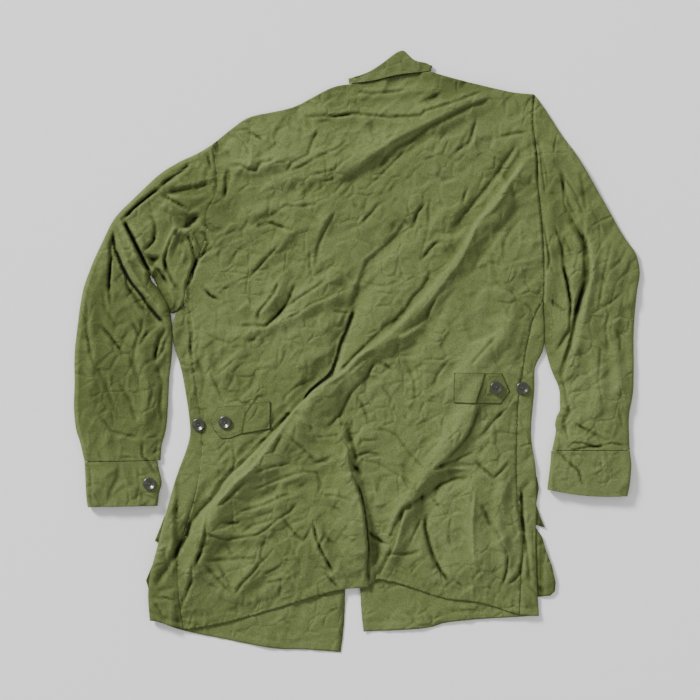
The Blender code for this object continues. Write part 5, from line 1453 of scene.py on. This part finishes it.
def frontUpper(edge, sign, under):
    # rows from the armhole up to the neck and the shoulder, flat and out of sight under the back
    inset, neckline = frontPanel["inset"], frontPanel["neckline"]
    centre, hole, shoulder = edge["centre"], edge["hole"], edge["shoulder"]
    neckX, neckY = shoulder[-1]
    part = np.linspace(0, 1, frontPanel["floorColumns"] + 1)
    rows = []
    for share in np.arange(1, frontPanel["upperRows"] + 1) / frontPanel["upperRows"]:
        edgeX = float(xAt(hole, mix(under, hole[0, 1] - inset, share))) - sign * inset
        x = mix(float(xAt(centre, mix(under, neckline, share))), edgeX, part)
        topX = mix(centre[-1, 0], hole[0, 0] - sign * inset, part)
        reach = ease((topX - centre[-1, 0]) / (neckX - centre[-1, 0]))
        topY = np.where((topX - neckX) * sign > 0, yAt(shoulder, topX) - inset,
                        mix(neckline, neckY - inset, reach))
        y = mix(under, topY, share)
        rows += [np.column_stack([x, y, np.full(len(x), z)]) for z in (0.0, frontPanel["thick"])]
    return rows


def rowFaces(rows):
    # rows come in pairs, outside and inside; the open edges are closed between the two
    starts = np.concatenate([[0], np.cumsum([len(row) for row in rows])]).tolist()
    faces, uses = [], {}
    for r in range(0, len(rows) - 2, 2):
        n0, n1 = len(rows[r]), len(rows[r + 2])
        extra = [n0, n0, n1, n1]
        for c in range(min(n0, n1) - 1):
            ring = [starts[r] + c, starts[r] + c + 1, starts[r + 2] + c + 1, starts[r + 2] + c]
            faces.append(ring)
            faces.append([a + b for a, b in zip(ring, extra)][::-1])
            for k in range(4):
                edge = (ring[k], ring[(k + 1) % 4])
                twin = (ring[k] + extra[k], ring[(k + 1) % 4] + extra[(k + 1) % 4])
                key = tuple(sorted(edge))
                uses[key] = None if key in uses else (edge, twin)
    faces += [[a, b, d, c] for (a, b), (c, d) in filter(None, uses.values())]
    return faces


for name, hand, sign, shoulder in (("front_left", "Left", -1, lines["topLeft"]),
                                   ("front_right", "Right", 1, lines["topRight"][::-1])):
    edge = {part: lines[part + hand] for part in ("frontHem", "centre", "side", "seam", "hole", "hem")}
    edge["shoulder"] = shoulder
    under = frontPanel["under"][hand]
    rows = frontWrap(edge, sign, under) + frontUpper(edge, sign, under)
    points = np.concatenate(rows)
    # painted light and shade only on points that stand higher above the floor than the set height
    paintedLightAndWear = sample(paintedLightAndWearGrid, points[:, 0], points[:, 1]) * (points[:, 2] > frontShown["darkAbove"])
    faces = outward(points, rowFaces(rows))
    newPiece(name + "_cloth", points, faces, poplin, [name], paintedLightAndWear)
print("fronts", len(faces))

# sleeves: their first ring follows the armhole just under the back
sleeveTube = {"stations": 52, "steps": 13, "wall": 1.0, "arcs": 8, "roll": 8.0, "armholeRoll": 3.5,
              "armholeSkirt": 3.0, "armholeShift": 0.5, "pitLean": (1.2, -0.8)}


def sleevePlans(hole, rings, shift):
    count = sleeveTube["stations"]
    table = np.array(rings, dtype=float)
    firstA = np.array([hole[0, 0] + shift, hole[0, 1]])
    firstB = np.array([hole[-1, 0] + shift, hole[-1, 1]])
    endsA = np.concatenate([[firstA], table[:, 0:2]])
    endsB = np.concatenate([[firstB], table[:, 2:4]])
    outsA, outsB = endDirections(endsA, endsB), endDirections(endsB, endsA)
    outsA[-1] = outsB[-1] = None
    under = lap["under"] * math.copysign(1.0, shift)
    lean = np.array([-sleeveTube["pitLean"][0] * shift, sleeveTube["pitLean"][1]])
    first = ringStations(firstA, firstB, 0.0, count, sleeveTube["armholeRoll"], None, lean,
                         sleeveTube["armholeSkirt"])
    first[1:-2, 0] = xAt(hole, first[1:-2, 1]) - under
    plans = [first]
    for k in range(1, len(endsA)):
        plans.append(ringStations(endsA[k], endsB[k], table[k - 1, 4], count, sleeveTube["roll"],
                                  outsA[k], outsB[k], table[k - 1, 5]))
    flat = curve(np.array(plans).reshape(len(plans), -1), sleeveTube["steps"])
    return flat.reshape(len(flat), count + 4, 2)


for name, hole, rings, sign in (("sleeve_left", "holeLeft", ringsLeft, -1),
                                ("sleeve_right", "holeRight", ringsRight, 1)):
    plans = sleevePlans(lines[hole], rings, sign * sleeveTube["armholeShift"])
    points, faces, paintedLightAndWear = tubeMesh(plans, sleeveTube["wall"], sleeveTube["arcs"], lapped=True)
    newPiece(name + "_cloth", points, outward(points, faces), poplin, [name], paintedLightAndWear)
print("sleeves", len(faces))

# cuffs
cuffTube = {"stations": 40, "steps": 7, "wall": 2.0, "arcs": 6, "roll": 5.0}
for name, rings in cuffRings.items():
    plans = [ringStations(row[0:2], row[2:4], row[4], cuffTube["stations"], cuffTube["roll"])
             for row in rings]
    plans = curve(np.array(plans).reshape(len(plans), -1), cuffTube["steps"])
    plans = plans.reshape(-1, cuffTube["stations"] + 4, 2)
    points, faces, paintedLightAndWear = tubeMesh(plans, cuffTube["wall"], cuffTube["arcs"])
    newPiece(name + "_cloth", points, outward(points, faces), trimPoplin, [name],
                           paintedLightAndWear)

# collar: a flattened band, the leaf under it reaching further than the strip on top
collarBand = {"columns": 56, "rings": 14, "end": 0.07, "thick": 1.6, "top": 6.8, "floor": 0.5, "arch": 3.0,
              "arcs": 6, "overNeck": 1.0, "endBlend": 8.0, "ripple": 0.8, "rippleBeat": 23.0,
              "rippleStart": 0.5, "wave": 0.5, "waveBeat": 31.0}


def collarMesh():
    form = collarBand
    neck = lines["neck"] + (0, form["overNeck"])
    parts = np.linspace(form["end"], 1 - form["end"], form["columns"] + 1)
    half = (form["top"] - form["floor"]) / 2
    rise = np.arange(1, form["arcs"] + 1) / (form["arcs"] + 1)
    arch = form["arch"] * np.sqrt(np.sin(math.pi * parts))
    nearEnd, farEnd = parts - form["end"], 1 - form["end"] - parts
    arch *= ease(nearEnd * form["endBlend"]) * ease(farEnd * form["endBlend"])
    sections = []
    for share in np.arange(form["rings"] + 1) / form["rings"]:

        def spot(line, part):
            return mix(alongLine(neck, part), alongLine(lines[line], part), share)

        ripple = form["ripple"] * np.sin(parts * form["rippleBeat"] + form["rippleStart"]) * share
        wave = form["wave"] * np.sin(parts * form["waveBeat"]) * ease(share * 2)
        for thin in (0.0, form["thick"]):
            low, high = spot("collarFar", parts), spot("collarNear", parts)
            points = [np.column_stack([low, np.full(len(low), form["floor"] + thin) + np.maximum(ripple, 0)])]
            for end, order in ((parts[-1], 1), (parts[0], -1)):
                a, b = spot("collarFar", end), spot("collarNear", end)
                tip = spot("collarFar", 1.0 if order > 0 else 0.0)
                turn = rise if order > 0 else 1 - rise
                angle = (turn - 0.5) * math.pi
                base = a + (b - a) * turn[:, None]
                reach = np.cos(angle)[:, None] * (tip - base - np.array([order * thin, 0.0]))
                points.append(np.column_stack([base + reach,
                                               form["floor"] + half + (half - thin) * np.sin(angle)]))
                if order > 0:
                    points.append(np.column_stack([high, form["top"] + arch + wave - thin])[::-1])
            sections.append(np.concatenate(points))
    return np.concatenate(sections), closedFaces(form["rings"] + 1, len(sections[0]))


points, faces = collarMesh()
collar = newPiece("collar_cloth", points, outward(points, faces), trimPoplin, ["collar"],
                  np.zeros(len(points)))
print("cuffs and collar")

# waist tabs, on the back; a tab is lower along its edge, in its stitched groove and past its step
tabPiece = {"pitch": 1.6, "thick": 2.0, "clear": 0.4, "stitchIn": 4.0, "step": 1.0, "stepBlend": 1.6,
            "edgeDrop": 0.7, "edgeWidth": 2.0, "groove": 0.5, "grooveWidth": 1.2}
tabShade = {"depth": 1.9, "edge": 1.0, "step": 1.4, "paintedLightAndWear": 0.6}
# the buttoned end of each tab lies a step lower than the end sewn to the back, right of this line
tabSteps = {"waist_tab_left": [(-153, -76), (-165, -94), (-170, -123)],
            "waist_tab_right": [(176, -78), (191, -31)]}


def tabTop(x, y):
    return topHeight(x, y) + tabPiece["clear"] + tabPiece["thick"]


def tabMesh(outline, path):
    def fromEdge(x, y):
        return np.hypot(*(np.array(ontoOutline(outline, x, y)[:2]) - (x, y)))

    def pastStep(x, y):
        return -measurePath(path, x, y)[0]

    def upper(x, y):
        away = fromEdge(x, y)
        edgeDrop = tabPiece["edgeDrop"] * (1 - ease(away / tabPiece["edgeWidth"]))
        groove = np.exp(-((away - tabPiece["stitchIn"]) / tabPiece["grooveWidth"]) ** 2)
        return (tabTop(x, y) - edgeDrop - tabPiece["groove"] * groove
                - tabPiece["step"] * ease(pastStep(x, y) / tabPiece["stepBlend"]))

    def lower(x, y, onRim):
        return topHeight(x, y) + tabPiece["clear"]

    points, faces, paintedLightAndWear = panelMesh(outline, tabPiece["pitch"], upper, lower)
    x, y = points[:, 0], points[:, 1]
    dark = np.exp(-(fromEdge(x, y) / tabShade["edge"]) ** 2) * tabShade["depth"]
    atStep = np.exp(-((pastStep(x, y) - tabPiece["stepBlend"]) / tabShade["step"]) ** 2) * tabShade["depth"]
    return points, faces, np.minimum(paintedLightAndWear * tabShade["paintedLightAndWear"], -np.maximum(dark, atStep))


for name, corners in tabs.items():
    points, faces, paintedLightAndWear = tabMesh(np.array(corners, float), tabSteps[name])
    newPiece(name + "_cloth", points, faces, trimPoplin, [name], paintedLightAndWear)

# pockets and flaps, under the fronts and in the shade of the side
pocketPieces = {
    "pocket_right": [(130, -265), (269, -265), (278, -279), (284, -299), (293, -323), (298, -346),
                     (297, -359), (290, -366), (271, -368), (130, -368)],
    "pocket_flap_right": [(130, -188), (270, -188), (273, -205), (269, -229), (275, -248), (282, -264),
                          (268, -260), (130, -260)],
    "pocket_left": [(-150, -290), (-298, -290), (-304, -313), (-309, -326), (-316, -343), (-312, -358),
                    (-150, -368)],
    "pocket_flap_left": [(-150, -236), (-284, -242), (-289, -248), (-294, -262), (-303, -284), (-296, -286),
                         (-150, -286)],
}
pocketForm = {"pitch": 3.5, "thick": 1.4, "past": 1.0, "blend": 6.0, "rise": 2.2, "shade": 0.8}


def pocketTop(x, y):
    # past the side edge the cloth is free to rise and crease
    edge = np.where(x > 0, xAt(lines["sideRight"], y), xAt(lines["sideLeft"], y))
    free = ease((np.abs(x) - np.abs(edge) - pocketForm["past"]) / pocketForm["blend"])
    return pocketForm["thick"] + free * np.maximum(pocketForm["rise"] + sample(creaseGrid, x, y), 0.0)


def pocketFloor(x, y, onRim):
    return np.zeros(len(x))


for name, corners in pocketPieces.items():
    points, faces, paintedLightAndWear = panelMesh(corners, pocketForm["pitch"], pocketTop, pocketFloor)
    newPiece(name + "_cloth", points, faces, poplin, [name],
                             paintedLightAndWear - pocketForm["shade"])
print("tabs and pockets")

# stitching: every stitch is a small spindle, its ends sunk into the cloth
stitch = {"pitch": 3.4, "length": 2.3, "half": 0.32, "rise": 0.34, "sunk": 0.25, "endSunk": 0.1, "lift": 0.05,
          "tabLift": -0.35, "beside": (3.0, 9.0)}


def stitchPoints(path, height, lift):
    path = np.array(path, float)
    size = np.hypot(*(path[1:] - path[:-1]).T).sum()
    count = max(int(size / stitch["pitch"]), 1)
    here = alongLine(path, (np.arange(count) + 0.5) / count)
    ahead = alongLine(path, np.clip((np.arange(count) + 0.5) / count + 0.5 / size, 0, 1))
    run = ahead - here
    run /= np.maximum(np.hypot(*run.T), 1e-6)[:, None]
    side = np.column_stack([-run[:, 1], run[:, 0]])
    half = stitch["length"] / 2
    points, faces = [], []
    for k in range(count):
        start = len(points)
        for way in (-half, half):
            p = here[k] + run[k] * way
            points.append((p[0], p[1], float(height(p[0], p[1])) + lift - stitch["endSunk"]))
        z = float(height(here[k, 0], here[k, 1])) + lift
        for across, up in ((stitch["half"], 0.0), (0.0, stitch["rise"]), (-stitch["half"], 0.0),
                           (0.0, -stitch["sunk"])):
            p = here[k] + side[k] * across
            points.append((p[0], p[1], z + up))
        for a, b in ((2, 3), (3, 4), (4, 5), (5, 2)):
            faces.append([start, start + a, start + b])
            faces.append([start + 1, start + b, start + a])
    return points, faces


def stitching(name, rows):
    points, faces = [], []
    for path, height, lift in rows:
        p, f = stitchPoints(path, height, lift)
        faces += [[i + len(points) for i in face] for face in f]
        points += p
    return newPiece(name, points, faces, thread, [])


def besideLine(line, distance):
    # the same line moved to its left
    run = np.gradient(np.asarray(line, float), axis=0)
    run /= np.maximum(np.hypot(*run.T), 1e-6)[:, None]
    return np.asarray(line) + np.column_stack([-run[:, 1], run[:, 0]]) * distance


def shrunk(corners, gap):
    # closed outline moved inward
    corners = np.array(corners, float)
    found = []
    x, y = corners.T
    turn = np.sign((x * np.roll(y, -1) - np.roll(x, -1) * y).sum())
    for k in range(len(corners)):
        into = corners[k] - corners[k - 1]
        out = corners[(k + 1) % len(corners)] - corners[k]
        into, out = into / np.hypot(*into), out / np.hypot(*out)
        side = np.array([-into[1] - out[1], into[0] + out[0]])
        side /= max(np.hypot(*side), 1e-6)
        spread = max(side @ np.array([-out[1], out[0]]), 0.4)
        found.append(corners[k] + side * turn * gap / spread)
    return np.array(found + [found[0]])


def frontTop(x, y):
    # stitches of a front hem lie on the cloth that shows
    return frontRise(x, y) + pocketCover(x, y) + frontPanel["thick"]


# two rows beside every seam of the back, on its own side; one row along each hem
backRows = [besideLine(lines[name], sign * distance)[2:-2]
            for name, sign in (("holeRight", -1), ("holeLeft", 1), ("seamRight", -1), ("seamLeft", 1))
            for distance in stitch["beside"]]
backRows += [hemStitch["hemLeft"][1:-1], hemStitch["hemRight"][1:-1]]
frontRows = [hemStitch["frontHemLeft"][8:-1], hemStitch["frontHemRight"][1:-6]]
tabRows = [(shrunk(corners, tabPiece["stitchIn"]), tabTop, stitch["tabLift"]) for corners in tabs.values()]
tabRows += [([(152, -36), (152, -74)], tabTop, 0.0), ([(-136, -79), (-136, -113)], tabTop, 0.0)]
cuffRows = [[(-401, -170), (-314, -168), (-304, -180), (-297, -197), (-301, -213), (-303, -226)],
            [(-397, -228), (-303, -226)], [(297, -153), (405, -153)], [(291, -203), (401, -212)]]

backStitching = stitching("backStitching", [(row, topHeight, stitch["lift"]) for row in backRows])
frontStitching = stitching("frontStitching", [(row, frontTop, stitch["lift"]) for row in frontRows])
tabStitching = stitching("tabStitching", tabRows)
cuffStitching = stitching("cuffStitching", [(row, topHeight, stitch["lift"]) for row in cuffRows])
print("stitching")

# buttons: dished, rimmed, four holes, sewn with crossed thread
buttonForm = {"radius": 9.5, "rim": 1.4, "height": 3.2, "dish": 0.75, "hole": 1.2, "spread": 2.3, "sides": 64,
              "flat": 3.6, "bowl": 1.1, "bowlSteps": 8, "clear": 0.1}
threadForm = {"bars": (-0.3, 0.3), "radius": 0.2, "rise": 0.55, "fall": 0.9, "over": 0.12, "rings": 9,
              "sides": 6}


def buttonProfile():
    # radius and height from the middle of the underside round the rim into the dish
    radius, top, dish = buttonForm["radius"], buttonForm["height"], buttonForm["dish"]
    rim = radius - buttonForm["rim"]
    profile = [(0.0, 0.0), (radius - 1.4, 0.0), (radius - 0.35, 0.5), (radius, 1.4),
               (radius - 0.15, top - 0.6), (radius - 0.7, top - 0.08), (rim + 0.1, top - 0.02)]
    profile += [(mix(buttonForm["flat"], rim - 0.3, s), mix(dish, top - 0.12, s ** buttonForm["bowl"]))
                for s in np.linspace(1, 0, buttonForm["bowlSteps"])]
    return profile + [(0.0, dish)]


def holeAngle(k):
    return math.radians(45 + 90 * k)


def buttonDrills():
    drills = bmesh.new()
    hole = buttonForm["hole"] * mm
    for k in range(4):
        made = bmesh.ops.create_cone(drills, cap_ends=True, segments=20, radius1=hole, radius2=hole,
                                     depth=0.01)
        angle = holeAngle(k)
        offset = Vector((math.cos(angle), math.sin(angle), 0)) * buttonForm["spread"] * mm
        bmesh.ops.translate(drills, verts=made["verts"], vec=offset)
    mesh = bpy.data.meshes.new("drills")
    drills.to_mesh(mesh)
    drills.free()
    return newObject("drills", mesh)


def buttonMesh():
    profile = [(r * mm, 0, z * mm) for r, z in reversed(buttonProfile())]
    mesh = bpy.data.meshes.new("buttonBlank")
    mesh.from_pydata(profile, [(i, i + 1) for i in range(len(profile) - 1)], [])
    blank = newObject("buttonBlank", mesh)
    turn = blank.modifiers.new("turn", "SCREW")
    turn.steps = turn.render_steps = buttonForm["sides"]
    turn.use_merge_vertices = True
    turn.merge_threshold = 0.00002
    drill = buttonDrills()
    cut = blank.modifiers.new("holes", "BOOLEAN")
    cut.object = drill
    cut.operation = "DIFFERENCE"
    cut.solver = "EXACT"
    bpy.context.view_layer.update()
    made = bpy.data.meshes.new_from_object(blank.evaluated_get(bpy.context.evaluated_depsgraph_get()))
    bpy.data.objects.remove(blank)
    bpy.data.objects.remove(drill)
    made.polygons.foreach_set("use_smooth", [True] * len(made.polygons))
    made.set_sharp_from_angle(angle=math.radians(38))
    made.materials.clear()
    made.materials.append(buttonPlastic)
    return made


def threadMesh():
    # two crossed pairs of bars over the holes, their ends going down into them
    work = bmesh.new()
    radius, sides = threadForm["radius"], threadForm["sides"]
    up = Vector((0, 0, radius))
    for k in range(2):
        angle = holeAngle(k)
        side = Vector((-math.sin(angle), math.cos(angle), 0))
        for shift in threadForm["bars"]:
            last = None
            for s in np.linspace(-1, 1, threadForm["rings"]):
                along = buttonForm["spread"] * s
                z = (buttonForm["dish"] + threadForm["rise"] * (1 - s ** 4) - threadForm["fall"] * s ** 8
                     + threadForm["over"] * k)
                centre = Vector((math.cos(angle) * along - math.sin(angle) * shift,
                                 math.sin(angle) * along + math.cos(angle) * shift, z))
                ring = [work.verts.new((centre + side * math.cos(t) * radius + up * math.sin(t)) * mm)
                        for t in np.linspace(0, 2 * math.pi, sides + 1)[:-1]]
                if last:
                    for i in range(sides):
                        work.faces.new([last[i], last[(i + 1) % sides], ring[(i + 1) % sides], ring[i]])
                last = ring
    mesh = bpy.data.meshes.new("buttonThread")
    work.to_mesh(mesh)
    work.free()
    mesh.materials.append(thread)
    return mesh


def seatButton(x, y, turn, seatHeight):
    # level with the cloth under it: a plane fitted to rings of points, raised until it clears them all
    angles = np.linspace(0, 2 * math.pi, 25)[:-1]
    rings = np.array([0.0, 0.35, 0.7, 1.0])[:, None] * buttonForm["radius"]
    dx, dy = (rings * np.cos(angles)).ravel(), (rings * np.sin(angles)).ravel()
    z = seatHeight(x + dx, y + dy)
    fit = np.linalg.lstsq(np.column_stack([dx, dy, np.ones(len(dx))]), z, rcond=None)[0]
    level = (z - fit[0] * dx - fit[1] * dy).max() + buttonForm["clear"]
    normal = Vector((-fit[0], -fit[1], 1.0)).normalized()
    tilt = normal.to_track_quat("Z", "Y").to_matrix().to_4x4()
    return Matrix.Translation(Vector((x, y, level)) * mm) @ tilt @ Matrix.Rotation(math.radians(turn), 4, "Z")


blankButton = buttonMesh()
blankThread = threadMesh()
for name, (x, y, seat, turn) in buttons.items():
    seatedAt = seatButton(x, y, turn, tabTop if seat == "tab" else topHeight)
    for blank, kind, slot in ((blankButton, "_plastic", "button"), (blankThread, "_thread", "trim_cloth")):
        own = blank.copy()
        own.transform(seatedAt)
        piece = newObject(name + kind, own)
        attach(piece, "root")
        if slot == "button":
            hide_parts(name)
print("buttons sewn on")

# floor and light, in metres
studio = {
    "floor": {"half": 4, "level": -0.0006, "tone": 0.92, "roughness": 0.9},
    "lights": {"key": {"place": (-7.2, 7.2, 5.6), "size": 2.4, "power": 2048.0},
               "fill": {"place": (1.6, -0.9, 2.2), "size": 2.2, "power": 8.0}},
    "world": 0.62,
}


def layFloor(form):
    half, level = form["half"], form["level"]
    corners = [(-half, -half, level), (half, -half, level), (half, half, level), (-half, half, level)]
    mesh = bpy.data.meshes.new("floor")
    mesh.from_pydata(corners, [], [(0, 1, 2, 3)])
    material, tree, shader = newMaterial("paleFloor")
    feed(tree, shader, {"Base Color": (form["tone"], form["tone"], form["tone"], 1),
                        "Roughness": form["roughness"]})
    mesh.materials.append(material)
    floor = newObject("floor", mesh)


def hangLights(lights):
    for name, lamp in lights.items():
        data = bpy.data.lights.new(name, "AREA")
        data.size = lamp["size"]
        data.energy = lamp["power"]
        light = newObject(name, data)
        light.location = lamp["place"]
        light.rotation_euler = (-Vector(lamp["place"])).to_track_quat("-Z", "Y").to_euler()


def lightWorld(strength):
    world = bpy.data.worlds.new("studio")
    world.use_nodes = True
    feed(world.node_tree, world.node_tree.nodes["Background"], {"Color": (1, 1, 1, 1), "Strength": strength})
    bpy.context.scene.world = world


layFloor(studio["floor"])
hangLights(studio["lights"])
lightWorld(studio["world"])
print("studio lit")
